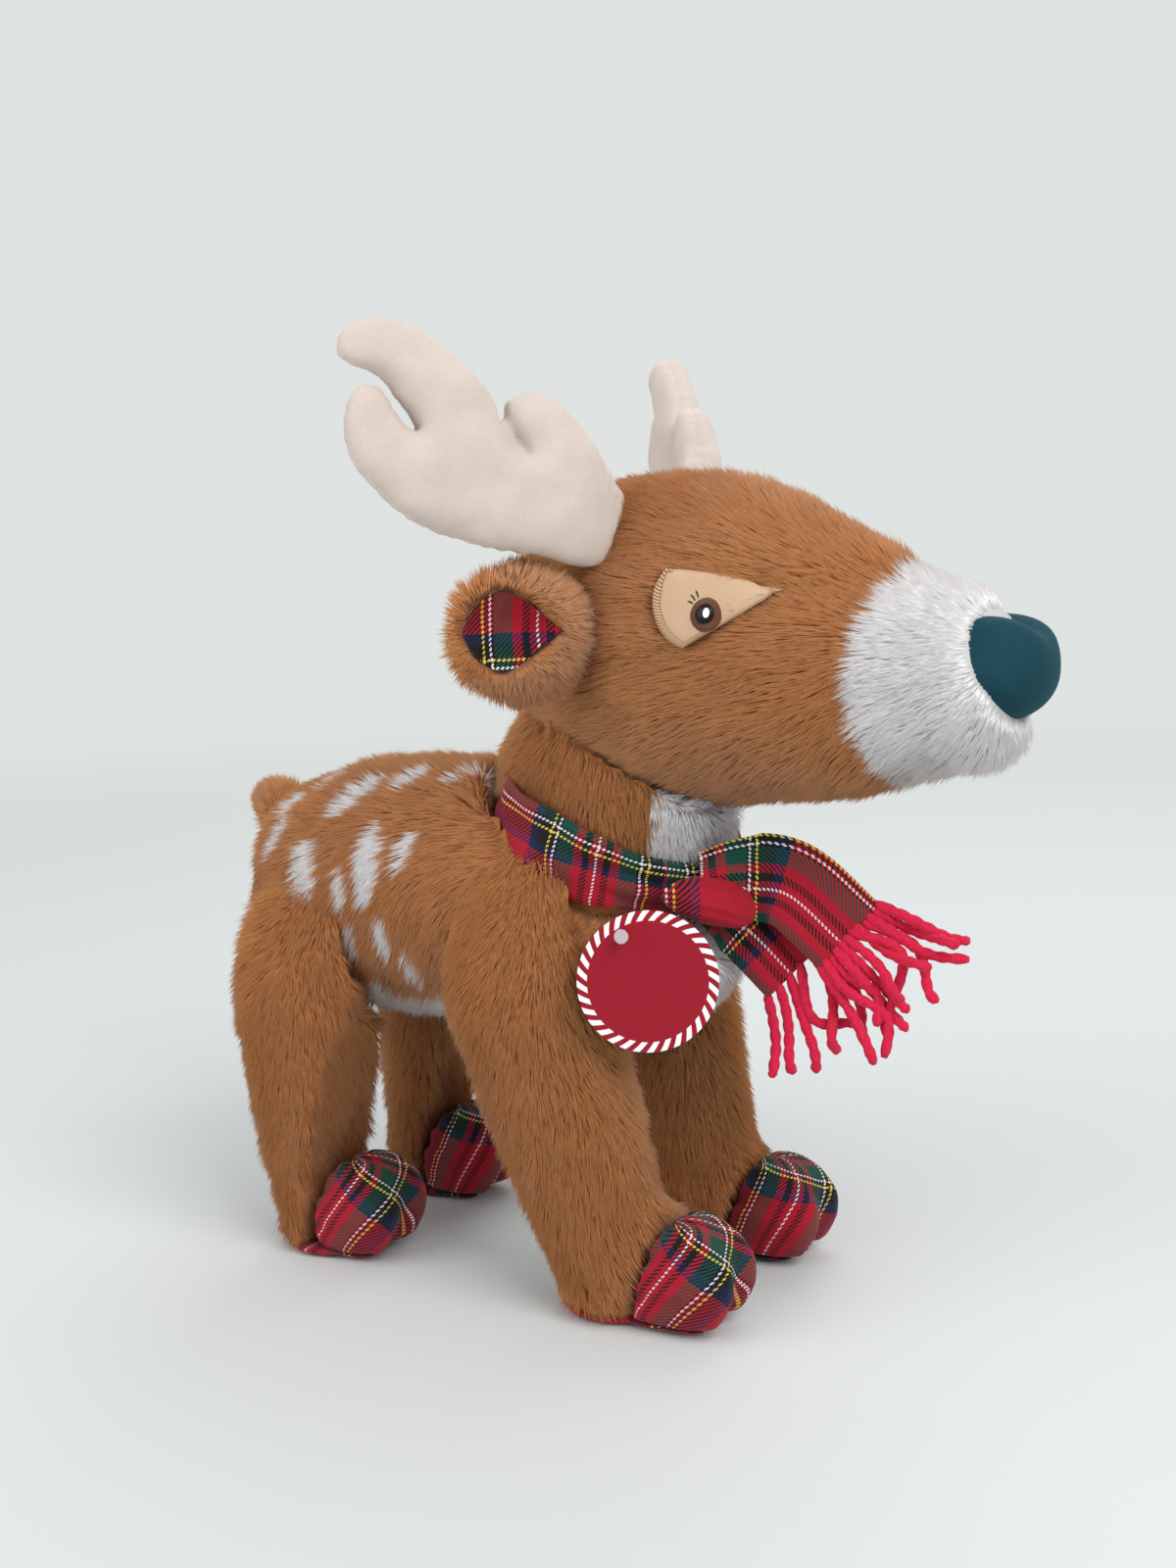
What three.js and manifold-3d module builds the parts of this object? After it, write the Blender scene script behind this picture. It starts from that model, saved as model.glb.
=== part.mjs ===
// A stuffed toy deer that stands on four stubby legs, with a spotted back, a big head with soft
// antlers, tartan hooves and ear linings, and a fringed tartan scarf that carries a round card tag.
// Millimetres, +Z up. The deer looks along -Y, so its right side is at -X, and the floor is Z = 0.
import * as THREE from "three";
import { mergeVertices } from "three/addons/utils/BufferGeometryUtils.js";
import Module from "manifold-3d";

const wasm = await Module();
wasm.setup();

// Cloth, stuffing and fits
const plushWall = 3; // plush cloth with its pile pressed flat
const velourWall = 2; // short velour of the antlers
const seamGap = 0.3; // between pieces that are sewn together or lie on each other
const overrun = 20; // how far a cutting shape reaches past what it cuts
const weldDistance = 0.0001;

// Body: the barrel that everything else is sewn to
const bodyLength = 221;
const bodyWidth = 108;
const bodyDepth = 106;
const bodyHeight = 146; // floor to the middle of the barrel
const bellyWidth = 62; // white panel between the legs
const chestWidth = 70; // white panel in front

// Neck
const neckWidth = 74;
const neckDepth = 98; // throat to nape
const neckForward = 50; // ahead of the middle of the body
const neckRise = 12; // its lower end above the middle of the body
const neckLean = 12; // degrees forward
const throatWidth = 52; // white panel above the scarf

// Head: skull and snout in one cover, closed by a white muzzle
const headLength = 195;
const headWidth = 96;
const headDepth = 118; // top of the skull to the jaw
const headHeight = 249; // floor to the middle of the skull
const headForward = 23; // back of the skull ahead of the middle of the body
const muzzleLength = 56; // seam to tip at half depth
const muzzleDepth = 112; // of the oval that the seam follows
const headNodDown = 6; // degrees
const headNodUp = 12;

// Nose: a padded patch with a notch at its top
const noseWidth = 44;
const noseDepth = 41;
const noseWrap = 22; // how far it reaches back from the tip
const nosePad = 4;
const noseNotch = 5;

// Eyes: a leaf of velour with a stitched disc
const eyeDiameter = 13;
const eyeAlong = 96; // back of the skull to the eye
const eyeRise = 8; // above the middle of the skull
const patchLength = 41;
const patchDepth = 25;
const patchThickness = 1.2;
const eyeThickness = 1.4;

// Ears
const earLength = 50;
const earDepth = 49;
const earThickness = 12;
const earAlong = 50; // back of the skull to the root
const earApart = 84; // between the two roots
const earRise = 3;
const earSplay = 43; // degrees out from straight back
const liningLength = 37;
const liningDepth = 27;
const liningThickness = 2.4;
const earFlop = 20; // degrees each way

// Antlers: flat stuffed palms with a brow tine and two fingers
const antlerReach = 92; // root to the tip of the upper finger, along the palm
const antlerRise = 72; // root to the top of the upper finger
const antlerThickness = 22;
const antlerApart = 76; // between the two roots
const antlerAlong = 54; // back of the skull to the root
const antlerSplay = 51; // degrees out from straight back
const antlerFlop = 8; // degrees each way

// Legs
const legWidth = 54;
const legDepth = 62;
const legApart = 88; // between the middles of the two legs of a pair
const frontLegForward = 32; // top of the leg ahead of the middle of the body
const frontLegHeight = 152; // floor to the middle of the shoulder
const frontLegSlant = 17; // degrees forward
const rearLegBack = 62;
const rearLegHeight = 138;
const rearLegSlant = 0;
const legSwing = 12; // degrees each way

// Feet
const frontFootReach = 50; // middle of the leg to the toe
const rearFootReach = 39;
const footWidth = 46;
const footDepth = 47;
const hoofLength = 34;
const hoofSlant = 16; // degrees that the seam leans forward at its top
const soleThickness = 3;

// Tail
const tailLength = 27;
const tailWidth = 26;
const tailDepth = 18;
const tailRise = 18; // root above the middle of the body
const tailLean = 35; // degrees up from straight back
const tailLift = 20; // degrees

// Scarf: one folded tartan strip with a band round the neck and two fringed ends
const scarfWidth = 32;
const scarfThickness = 2.4;
const scarfTilt = 18; // degrees that the band rises towards the nape
const scarfRise = 25; // middle of the band above the middle of the body
const knotWidth = 30;
const knotDepth = 20;
const knotOut = 21; // to the right of the middle of the neck
const upperEndLength = 54;
const lowerEndLength = 40;
const endClearance = 4; // between the two ends where one hangs over the other
const scarfSwing = 10; // degrees each way
const fringeLength = 36;
const yarnDiameter = 4;
const yarnCount = 7;

// Swing tag: a card disc on a plastic barb
const tagDiameter = 50;
const tagThickness = 1;
const tagHole = 4;
const tagHoleRise = 16; // above the middle of the card
const tagHoleShift = 9;
const tagOut = 51; // middle of the card to the right of the middle of the body
const tagForward = 97; // ahead of the middle of the body
const tagDrop = 16; // below the middle of the body
const tagTurn = 59; // degrees that the card turns from straight ahead to the right
const tagLean = 6; // degrees that its top leans towards the chest
const barbDiameter = 1.6;
const barbReach = 30; // head to the end inside the chest
const barbStand = 5; // head ahead of the card
const hangGap = 0.6; // top of the hole above the barb that the card hangs on
const barbHead = 5;
const tagLift = 40; // degrees

const up = new THREE.Vector3(0, 0, 1);
const forward = new THREE.Vector3(0, -1, 0);
const outward = new THREE.Vector3(-1, 0, 0); // towards the deer's right
const radians = THREE.MathUtils.degToRad;

// A closed three.js geometry as a solid that can be joined and cut.
function solidFrom(geometry) {
  const bare = geometry.clone();
  bare.deleteAttribute("normal");
  bare.deleteAttribute("uv");
  const merged = mergeVertices(bare, weldDistance);
  return new wasm.Manifold(
    new wasm.Mesh({
      numProp: 3,
      vertProperties: new Float32Array(merged.attributes.position.array),
      triVerts: new Uint32Array(merged.index.array),
    }),
  );
}

// The same solid as a three.js geometry again.
function geometryFrom(solid) {
  const mesh = solid.getMesh();
  const geometry = new THREE.BufferGeometry();
  geometry.setAttribute("position", new THREE.BufferAttribute(mesh.vertProperties, 3));
  geometry.setIndex(new THREE.BufferAttribute(mesh.triVerts, 1));
  geometry.computeVertexNormals();
  return geometry;
}

// A solid turned by some degrees about an axis through a pivot.
function turned(solid, pivot, axis, degrees) {
  const matrix = new THREE.Matrix4().makeTranslation(pivot.x, pivot.y, pivot.z);
  matrix.multiply(new THREE.Matrix4().makeRotationAxis(axis, radians(degrees)));
  matrix.multiply(new THREE.Matrix4().makeTranslation(-pivot.x, -pivot.y, -pivot.z));
  return solid.transform(matrix.elements);
}

// The room that a solid takes as it turns from one angle to another: copies at even steps, joined.
function sweptRoom(solid, pivot, axis, from, to, steps = 2) {
  const copies = [];
  for (let step = 0; step <= steps; step += 1) {
    copies.push(turned(solid, pivot, axis, from + ((to - from) * step) / steps));
  }
  return wasm.Manifold.union(copies);
}

const joined = (solids) => wasm.Manifold.union(solids);
const mirrored = (solid) => solid.mirror([1, 0, 0]);

// Rows of a stuffed form from shares of its length, width and depth. A row holds the middle of one
// ring, its half size along the side direction and its half size along the rise direction.
function rowsFrom(rowShares, { start, along, side, rise, length, width, depth }) {
  return rowShares.map(([alongShare, riseShare, widthShare, depthShare, sideShare = 0]) => ({
    middle: start
      .clone()
      .addScaledVector(along, length * alongShare)
      .addScaledVector(rise, depth * riseShare)
      .addScaledVector(side, width * sideShare),
    across: (width / 2) * widthShare,
    deep: (depth / 2) * depthShare,
  }));
}

// A stuffed form: rings round a smooth spine, closed by a dome at each end. A cap is how far the
// dome stands out. Growing pushes the whole surface out, and an open end runs on without a dome.
function stuffedForm(rows, look) {
  const { side, sides, rings, startCap, endCap, grow = 0, openStart = 0, openEnd = 0, domeRings = 2 } = look;
  const spine = new THREE.CatmullRomCurve3(rows.map((row) => row.middle));
  const sizes = new THREE.CatmullRomCurve3(rows.map((row) => new THREE.Vector3(row.across, row.deep, 0)));
  spine.curveType = "catmullrom";
  sizes.curveType = "catmullrom";
  const stations = [];
  for (let step = 0; step <= rings; step += 1) {
    const size = sizes.getPoint(step / rings);
    stations.push({
      middle: spine.getPoint(step / rings),
      along: spine.getTangent(step / rings),
      across: size.x + grow,
      deep: size.y + grow,
    });
  }
  const close = (end, direction, cap, open) => {
    const at = (distance, share) => ({
      middle: end.middle.clone().addScaledVector(end.along, direction * distance),
      along: end.along,
      across: end.across * share,
      deep: end.deep * share,
    });
    if (open > 0) {
      return { extra: [at(open, 1)], tip: at(open, 0).middle };
    }
    const extra = [];
    for (let step = 1; step < domeRings; step += 1) {
      const angle = (step / domeRings) * (Math.PI / 2);
      extra.push(at((cap + grow) * Math.sin(angle), Math.cos(angle)));
    }
    return { extra, tip: at(cap + grow, 0).middle };
  };
  const first = close(stations[0], -1, startCap, openStart);
  const last = close(stations[rings], 1, endCap, openEnd);
  const loop = [...first.extra.reverse(), ...stations, ...last.extra];

  const points = [];
  for (const ring of loop) {
    const across = side.clone().addScaledVector(ring.along, -side.dot(ring.along)).normalize();
    const deep = new THREE.Vector3().crossVectors(ring.along, across);
    for (let corner = 0; corner < sides; corner += 1) {
      const angle = (corner / sides) * Math.PI * 2;
      const point = ring.middle.clone();
      point.addScaledVector(across, Math.cos(angle) * ring.across);
      point.addScaledVector(deep, Math.sin(angle) * ring.deep);
      points.push(point);
    }
  }
  const firstTip = points.push(first.tip) - 1;
  const lastTip = points.push(last.tip) - 1;
  const faces = [];
  const top = (loop.length - 1) * sides;
  for (let corner = 0; corner < sides; corner += 1) {
    const next = (corner + 1) % sides;
    faces.push(firstTip, next, corner);
    for (let low = 0; low < top; low += sides) {
      const high = low + sides;
      faces.push(low + corner, low + next, high + next, low + corner, high + next, high + corner);
    }
    faces.push(lastTip, top + corner, top + next);
  }
  const geometry = new THREE.BufferGeometry().setFromPoints(points);
  geometry.setIndex(faces);
  return solidFrom(geometry);
}

// A ball stretched to three half sizes.
function egg(middle, halfX, halfY, halfZ) {
  const geometry = new THREE.SphereGeometry(1, 12, 8);
  geometry.scale(halfX, halfY, halfZ);
  geometry.translate(middle.x, middle.y, middle.z);
  return solidFrom(geometry);
}

// A block with its middle, its sizes and a turn about X in degrees.
function block(middle, sizeX, sizeY, sizeZ, tilt = 0) {
  const geometry = new THREE.BoxGeometry(sizeX, sizeY, sizeZ);
  geometry.rotateX(radians(tilt));
  geometry.translate(middle.x, middle.y, middle.z);
  return solidFrom(geometry);
}

// A flat outline in a plane, given by its two directions, made a prism along their normal.
function prism(outline, middle, across, rise, depth) {
  const geometry = new THREE.ExtrudeGeometry(outline, { depth, bevelEnabled: false, curveSegments: 5 });
  geometry.translate(0, 0, -depth / 2);
  const normal = new THREE.Vector3().crossVectors(across, rise).normalize();
  geometry.applyMatrix4(new THREE.Matrix4().makeBasis(across, rise, normal));
  geometry.translate(middle.x, middle.y, middle.z);
  return solidFrom(geometry);
}

// Body form, its rows running from rump to breast
const bodyMiddle = new THREE.Vector3(0, 0, bodyHeight);
const bodyRowShares = [
  [-0.373, -0.04, 0.84, 0.88],
  [-0.25, -0.01, 0.96, 0.98],
  [-0.1, 0, 1, 1],
  [0.07, 0.01, 0.99, 0.99],
  [0.2, 0.01, 0.95, 0.96],
  [0.3, -0.01, 0.89, 0.91],
  [0.37, -0.04, 0.8, 0.84],
];
const bodyRows = rowsFrom(bodyRowShares, {
  start: bodyMiddle,
  along: forward,
  side: outward,
  rise: up,
  length: bodyLength,
  width: bodyWidth,
  depth: bodyDepth,
});
const bodyForm = (grow, fine = true) =>
  stuffedForm(bodyRows, {
    side: outward,
    sides: fine ? 16 : 8,
    rings: fine ? 7 : 4,
    startCap: bodyLength * (1 / 2 + bodyRowShares[0][0]),
    endCap: bodyLength * (1 / 2 - bodyRowShares.at(-1)[0]),
    domeRings: 3,
    grow,
  });

// Head form, its rows running from the back of the skull to the tip of the snout
const skullBack = new THREE.Vector3(0, -headForward, headHeight);
const headRowShares = [
  [0.12, 0.02, 0.87, 0.78],
  [0.24, 0.02, 0.98, 0.95],
  [0.37, 0, 1, 1],
  [0.52, -0.04, 0.94, 0.92],
  [0.65, -0.08, 0.83, 0.79],
  [0.73, -0.105, 0.74, 0.7],
  [0.83, -0.13, 0.64, 0.58],
  [0.92, -0.15, 0.54, 0.48],
];
const headRows = rowsFrom(headRowShares, {
  start: skullBack,
  along: forward,
  side: outward,
  rise: up,
  length: headLength,
  width: headWidth,
  depth: headDepth,
});
const headForm = (grow, fine = true) =>
  stuffedForm(headRows, {
    side: outward,
    sides: fine ? 16 : 8,
    rings: fine ? 9 : 5,
    startCap: headLength * headRowShares[0][0],
    endCap: headLength * (1 - headRowShares.at(-1)[0]),
    domeRings: 3,
    grow,
  });
const onHead = (along, rise, out) => new THREE.Vector3(-out, -headForward - along, headHeight + rise);

// Neck form, from the shoulders up into the head
const neckStart = new THREE.Vector3(0, -neckForward, bodyHeight + neckRise);
const neckAlong = up.clone().applyAxisAngle(outward, radians(-neckLean));
const neckLength = headHeight - bodyHeight - neckRise;
const neckRowShares = [
  [0, 0, 1.04, 1.04],
  [0.4, 0, 1, 1],
  [0.75, 0, 0.96, 0.94],
];
const neckRows = rowsFrom(neckRowShares, {
  start: neckStart,
  along: neckAlong,
  side: outward,
  rise: forward,
  length: neckLength,
  width: neckWidth,
  depth: neckDepth,
});
const neckForm = (grow, fine = true, openEnd = 0) =>
  stuffedForm(neckRows, {
    side: outward,
    sides: fine ? 16 : 8,
    rings: fine ? 3 : 2,
    startCap: neckRise,
    endCap: neckRise,
    grow,
    openEnd,
  });
const headPivot = neckStart.clone().addScaledVector(neckAlong, neckLength * 0.8);
const headRoom = sweptRoom(headForm(seamGap), headPivot, outward, -headNodDown, headNodUp);

// Scarf band: a slice of the layer that lies on the neck
const bandMiddle = new THREE.Vector3(0, -neckForward, bodyHeight + scarfRise);
const bandSlice = (grow) =>
  block(bandMiddle, bodyWidth * 2, bodyLength, scarfWidth + 2 * grow, scarfTilt);
const scarfBand = neckForm(seamGap + scarfThickness)
  .subtract(neckForm(seamGap))
  .intersect(bandSlice(0))
  .subtract(headRoom);
const bandRoom = neckForm(2 * seamGap + scarfThickness).intersect(bandSlice(seamGap));

// White panels of the underside, each the part of a cover that lies inside an egg
const bellyEgg = (grow) =>
  egg(
    bodyMiddle.clone().addScaledVector(up, -bodyDepth / 2),
    bellyWidth / 2 + grow,
    bodyLength * 0.42 + grow,
    bodyDepth * 0.2 + grow,
  );
const chestEgg = (grow) =>
  egg(
    new THREE.Vector3(0, -bodyLength / 2, bodyHeight - bodyDepth * 0.1),
    chestWidth / 2 + grow,
    bodyLength * 0.16 + grow,
    bodyDepth * 0.38 + grow,
  );
const throatEgg = (grow) =>
  egg(
    neckStart.clone().addScaledVector(forward, neckDepth / 2),
    throatWidth / 2 + grow,
    neckDepth * 0.3 + grow,
    neckLength * 0.75 + grow,
  );
const stuffingGap = plushWall + seamGap;
const bodyCover = bodyForm(0)
  .subtract(bodyForm(-plushWall, false))
  .subtract(neckForm(seamGap))
  .subtract(bandRoom);
const neckCover = neckForm(0).subtract(neckForm(-plushWall, false, overrun)).subtract(headRoom);
const bodyStuffing = bodyForm(-stuffingGap, false).subtract(neckForm(seamGap)).subtract(bandRoom);
const neckStuffing = neckForm(-stuffingGap, false, overrun).subtract(headRoom);

// Muzzle: everything ahead of a seam that bulges back on the cheeks
const muzzleOval = (grow) => {
  const geometry = new THREE.CylinderGeometry(1, 1, headWidth * 2, 16);
  geometry.rotateZ(Math.PI / 2);
  geometry.scale(1, muzzleLength + grow, muzzleDepth / 2 + grow);
  const middle = onHead(headLength, -headDepth * 0.13, 0);
  geometry.translate(middle.x, middle.y, middle.z);
  return solidFrom(geometry);
};
const headCover = headForm(0).subtract(headForm(-plushWall, false));
const headStuffing = headForm(-stuffingGap, false);

// Nose: a padded patch on the tip of the snout, cut to a rounded outline with a notch
const noseOutline = () => {
  const half = noseWidth / 2;
  const shape = new THREE.Shape();
  shape.moveTo(0, noseDepth * 0.5 - noseNotch);
  shape.bezierCurveTo(half * 0.3, noseDepth * 0.55, half, noseDepth * 0.55, half, noseDepth * 0.15);
  shape.bezierCurveTo(half, -noseDepth * 0.2, half * 0.5, -noseDepth * 0.5, 0, -noseDepth * 0.5);
  shape.bezierCurveTo(-half * 0.5, -noseDepth * 0.5, -half, -noseDepth * 0.2, -half, noseDepth * 0.15);
  shape.bezierCurveTo(-half, noseDepth * 0.55, -half * 0.3, noseDepth * 0.55, 0, noseDepth * 0.5 - noseNotch);
  return shape;
};
const noseMiddle = onHead(headLength - noseWrap, -headDepth * 0.12, 0);
const nose = headForm(nosePad)
  .subtract(headForm(seamGap))
  .intersect(
    prism(noseOutline(), noseMiddle.clone().addScaledVector(forward, overrun), outward, up, overrun * 2),
  );

// Eyes: a leaf-shaped patch on the side of the head and a round stitched disc on it
const eyeMiddle = onHead(eyeAlong, eyeRise, headWidth / 2);
const leafOutline = () => {
  const shape = new THREE.Shape();
  const back = -patchLength * 0.42;
  const front = patchLength * 0.58;
  const top = patchDepth * 0.56;
  const bottom = -patchDepth * 0.44;
  shape.moveTo(back, 0);
  shape.quadraticCurveTo(back, top, back * 0.4, top);
  shape.quadraticCurveTo(front * 0.5, top, front, top * 0.5);
  shape.quadraticCurveTo(front * 0.35, bottom, 0, bottom);
  shape.quadraticCurveTo(back, bottom, back, 0);
  return shape;
};
const eyeOutline = () => {
  const shape = new THREE.Shape();
  shape.absarc(0, 0, eyeDiameter / 2, 0, Math.PI * 2);
  return shape;
};
const patchTop = seamGap + patchThickness;
const onCheek = (outline, inner, outer) =>
  headForm(outer)
    .subtract(headForm(inner))
    .intersect(prism(outline, eyeMiddle, forward, up, headWidth * 0.8));
const eyePatch = onCheek(leafOutline(), seamGap, patchTop);
const eyeDisc = onCheek(eyeOutline(), patchTop + seamGap, patchTop + seamGap + eyeThickness);

// Legs: each runs from the shoulder or hip down to the floor, with a foot that reaches forward
const legRowShares = [
  [0, 0, 0.86, 1.08, -0.06],
  [0.22, 0, 1, 1.08, 0.02],
  [0.45, 0, 0.97, 1, 0],
  [0.68, 0, 0.88, 0.89, -0.06],
  [0.86, 0, 0.84, 0.82, -0.12],
  [0.96, 0, 0.8, 0.78, -0.13],
];
const footRowShares = [
  [0.1, 0, 0.96, 0.96],
  [0.35, 0, 1, 1],
  [0.6, 0, 1, 0.98],
  [0.75, -0.04, 0.92, 0.88],
];
const lobeRowShares = [
  [0.1, 0, 0.56, 0.96],
  [0.35, 0, 0.56, 1],
  [0.58, 0, 0.55, 0.98],
  [0.75, -0.04, 0.5, 0.86],
];
const legCap = legWidth * 0.4;
function rightLeg({ top, slant, reach }) {
  const along = up.clone().negate().applyAxisAngle(outward, radians(slant));
  const rows = rowsFrom(legRowShares, {
    start: top,
    along,
    side: outward,
    rise: forward,
    length: top.z / Math.cos(radians(slant)),
    width: legWidth,
    depth: legDepth,
  });
  const legForm = (grow, fine = true, openStart = 0) =>
    stuffedForm(rows, {
      side: outward,
      sides: fine ? 12 : 8,
      rings: fine ? 5 : 3,
      startCap: legCap,
      endCap: legCap / 2,
      grow,
      openStart,
    });
  const ankle = rows.at(-1).middle.clone().setZ(footDepth * 0.46);
  const footLook = { along: forward, side: outward, rise: up, length: reach };
  const footCap = reach * (1 - footRowShares.at(-1)[0]);
  const footRows = rowsFrom(footRowShares, {
    ...footLook,
    start: ankle,
    width: footWidth,
    depth: footDepth,
  });
  const footForm = stuffedForm(footRows, {
    side: outward,
    sides: 10,
    rings: 3,
    startCap: reach * footRowShares[0][0],
    endCap: footCap * 0.6,
  });
  const lobes = [-1, 1].map((way) => {
    const start = ankle.clone().addScaledVector(outward, way * footWidth * 0.22);
    const lobeRows = rowsFrom(lobeRowShares, { ...footLook, start, width: footWidth, depth: footDepth });
    return stuffedForm(lobeRows, {
      side: outward,
      sides: 8,
      rings: 3,
      startCap: reach * footRowShares[0][0],
      endCap: footCap,
    });
  });
  const hoofBlock = (grow) =>
    block(
      ankle.clone().addScaledVector(forward, reach - hoofLength + footDepth - grow),
      footWidth * 2,
      footDepth * 2,
      footDepth * 4,
      hoofSlant,
    );
  const ground = (from, to) =>
    block(
      new THREE.Vector3(top.x, ankle.y, (from + to) / 2),
      legWidth * 2,
      (legDepth + reach) * 2,
      to - from,
    );
  const aboveSole = ground(soleThickness + seamGap, top.z * 2);
  const bodyRoom = sweptRoom(bodyForm(3 * seamGap), top, outward, -legSwing, legSwing);
  const hoofForm = joined([...lobes, footForm]);
  return {
    cover: joined([legForm(0), footForm])
      .subtract(hoofBlock(seamGap))
      .subtract(legForm(-plushWall, false))
      .intersect(aboveSole)
      .subtract(bodyRoom),
    stuffing: legForm(-stuffingGap, false).subtract(hoofBlock(stuffingGap)).intersect(aboveSole).subtract(bodyRoom),
    hoof: hoofForm.intersect(hoofBlock(0)).intersect(aboveSole),
    sole: joined([legForm(0), hoofForm]).intersect(ground(0, soleThickness)),
  };
}
const frontLeg = rightLeg({
  top: new THREE.Vector3(-legApart / 2, -frontLegForward, frontLegHeight),
  slant: frontLegSlant,
  reach: frontFootReach,
});
const rearLeg = rightLeg({
  top: new THREE.Vector3(-legApart / 2, rearLegBack, rearLegHeight),
  slant: rearLegSlant,
  reach: rearFootReach,
});

// Antler: a palm with two fingers and a brow tine, all in one upright plane
const palmRowShares = [
  [-0.11, -0.16, 0.95, 0.38],
  [0.02, -0.04, 1, 0.42],
  [0.23, 0.12, 1, 0.56],
  [0.47, 0.22, 1, 0.58],
  [0.66, 0.34, 0.95, 0.51],
  [0.81, 0.49, 0.85, 0.38],
];
const upperFingerRowShares = [
  [0.46, 0.38, 0.9, 0.5],
  [0.58, 0.6, 0.9, 0.42],
  [0.72, 0.79, 0.86, 0.34],
  [0.87, 0.845, 0.8, 0.3],
];
const lowerFingerRowShares = [
  [0.76, 0.42, 0.8, 0.34],
  [0.87, 0.57, 0.74, 0.25],
];
const browTineRowShares = [
  [0.04, 0.13, 0.95, 0.42],
  [0.17, 0.32, 0.95, 0.44],
  [0.265, 0.47, 0.86, 0.34],
];
const antlerRoot = onHead(antlerAlong, headDepth * 0.32, antlerApart / 2);
const antlerWay = forward.clone().negate().applyAxisAngle(up, radians(antlerSplay));
const antlerSide = new THREE.Vector3().crossVectors(up, antlerWay);
const antlerForm = (grow, fine = true, openStart = 0) => {
  const branch = (shares, rings, startCap, endCap, open = 0) =>
    stuffedForm(
      rowsFrom(shares, {
        start: antlerRoot,
        along: antlerWay,
        side: antlerSide,
        rise: up,
        length: antlerReach,
        width: antlerThickness,
        depth: antlerRise,
      }),
      { side: antlerSide, sides: fine ? 8 : 5, rings, startCap, endCap, grow, openStart: open },
    );
  const cap = antlerThickness / 2;
  return joined([
    branch(palmRowShares, fine ? 4 : 3, cap, cap * 0.8, openStart),
    branch(upperFingerRowShares, fine ? 3 : 2, cap, cap),
    branch(lowerFingerRowShares, 2, cap, cap * 0.8),
    branch(browTineRowShares, 2, cap, cap),
  ]);
};
const antlerHeadRoom = sweptRoom(headForm(2 * seamGap), antlerRoot, antlerWay, -antlerFlop, antlerFlop, 1);
const velourGap = velourWall + seamGap;
const antlerCover = antlerForm(0).subtract(antlerForm(-velourWall, false, overrun)).subtract(antlerHeadRoom);
const antlerStuffing = antlerForm(-velourGap, false, overrun).intersect(antlerForm(0)).subtract(antlerHeadRoom);

// Ear: a flat plush leaf with a cloth lining let into its front
const earRowShares = [
  [0.12, 0, 0.9, 0.55],
  [0.3, 0, 1, 0.86],
  [0.55, 0, 1, 1],
  [0.8, 0.02, 0.8, 0.78],
];
const liningRowShares = [
  [0.2, 0, 1, 0.6],
  [0.5, 0, 1, 1],
  [0.8, 0, 1, 0.75],
];
const earRoot = onHead(earAlong, earRise, earApart / 2);
const earWay = forward.clone().negate().applyAxisAngle(up, radians(earSplay));
const earSide = new THREE.Vector3().crossVectors(up, earWay);
const leaf = (rowShares, start, length, width, depth, grow) =>
  stuffedForm(
    rowsFrom(rowShares, { start, along: earWay, side: earSide, rise: up, length, width, depth }),
    {
      side: earSide,
      sides: 10,
      rings: 3,
      startCap: length * rowShares[0][0],
      endCap: length * (1 - rowShares.at(-1)[0]),
      grow,
    },
  );
const liningRoot = earRoot
  .clone()
  .addScaledVector(earWay, (earLength - liningLength) * 0.9)
  .addScaledVector(earSide, earThickness / 2);
const earHeadRoom = sweptRoom(headForm(seamGap), earRoot, up, -earFlop, earFlop);
const lining = (grow) =>
  leaf(liningRowShares, liningRoot, liningLength, liningThickness * 2, liningDepth, grow);
const earLeaf = leaf(earRowShares, earRoot, earLength, earThickness, earDepth, 0).subtract(earHeadRoom);
const earCover = earLeaf.subtract(lining(seamGap));
const earLining = lining(0).subtract(earHeadRoom);

// Tail: a short stuffed stub that lifts at its seam
const tailRowShares = [
  [0, 0, 0.9, 0.9],
  [0.4, 0, 1, 1],
  [0.75, 0, 0.8, 0.8],
];
const tailRoot = new THREE.Vector3(0, bodyLength / 2 - tailWidth / 2, bodyHeight + tailRise);
const tailWay = forward.clone().negate().applyAxisAngle(outward, radians(-tailLean));
const tailForm = stuffedForm(
  rowsFrom(tailRowShares, {
    start: tailRoot,
    along: tailWay,
    side: outward,
    rise: up,
    length: tailLength,
    width: tailWidth,
    depth: tailDepth,
  }),
  { side: outward, sides: 10, rings: 3, startCap: tailDepth / 2, endCap: tailLength * 0.25 },
);
const tail = tailForm.subtract(sweptRoom(bodyForm(seamGap), tailRoot, outward, 0, tailLift));

// Scarf: the knot sits on the band, and both ends leave it as flat strips of doubled cloth
const knotMiddle = bandMiddle
  .clone()
  .addScaledVector(outward, knotOut)
  .addScaledVector(forward, neckDepth / 2 + knotDepth * 0.3)
  .addScaledVector(up, -scarfWidth * 0.35);
const knotEgg = (grow) =>
  egg(knotMiddle, knotWidth / 2 + grow, knotDepth / 2 + grow, scarfWidth * 0.45 + grow);
const knot = knotEgg(0)
  .subtract(bandRoom)
  .subtract(neckForm(seamGap))
  .subtract(bodyForm(seamGap));

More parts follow.
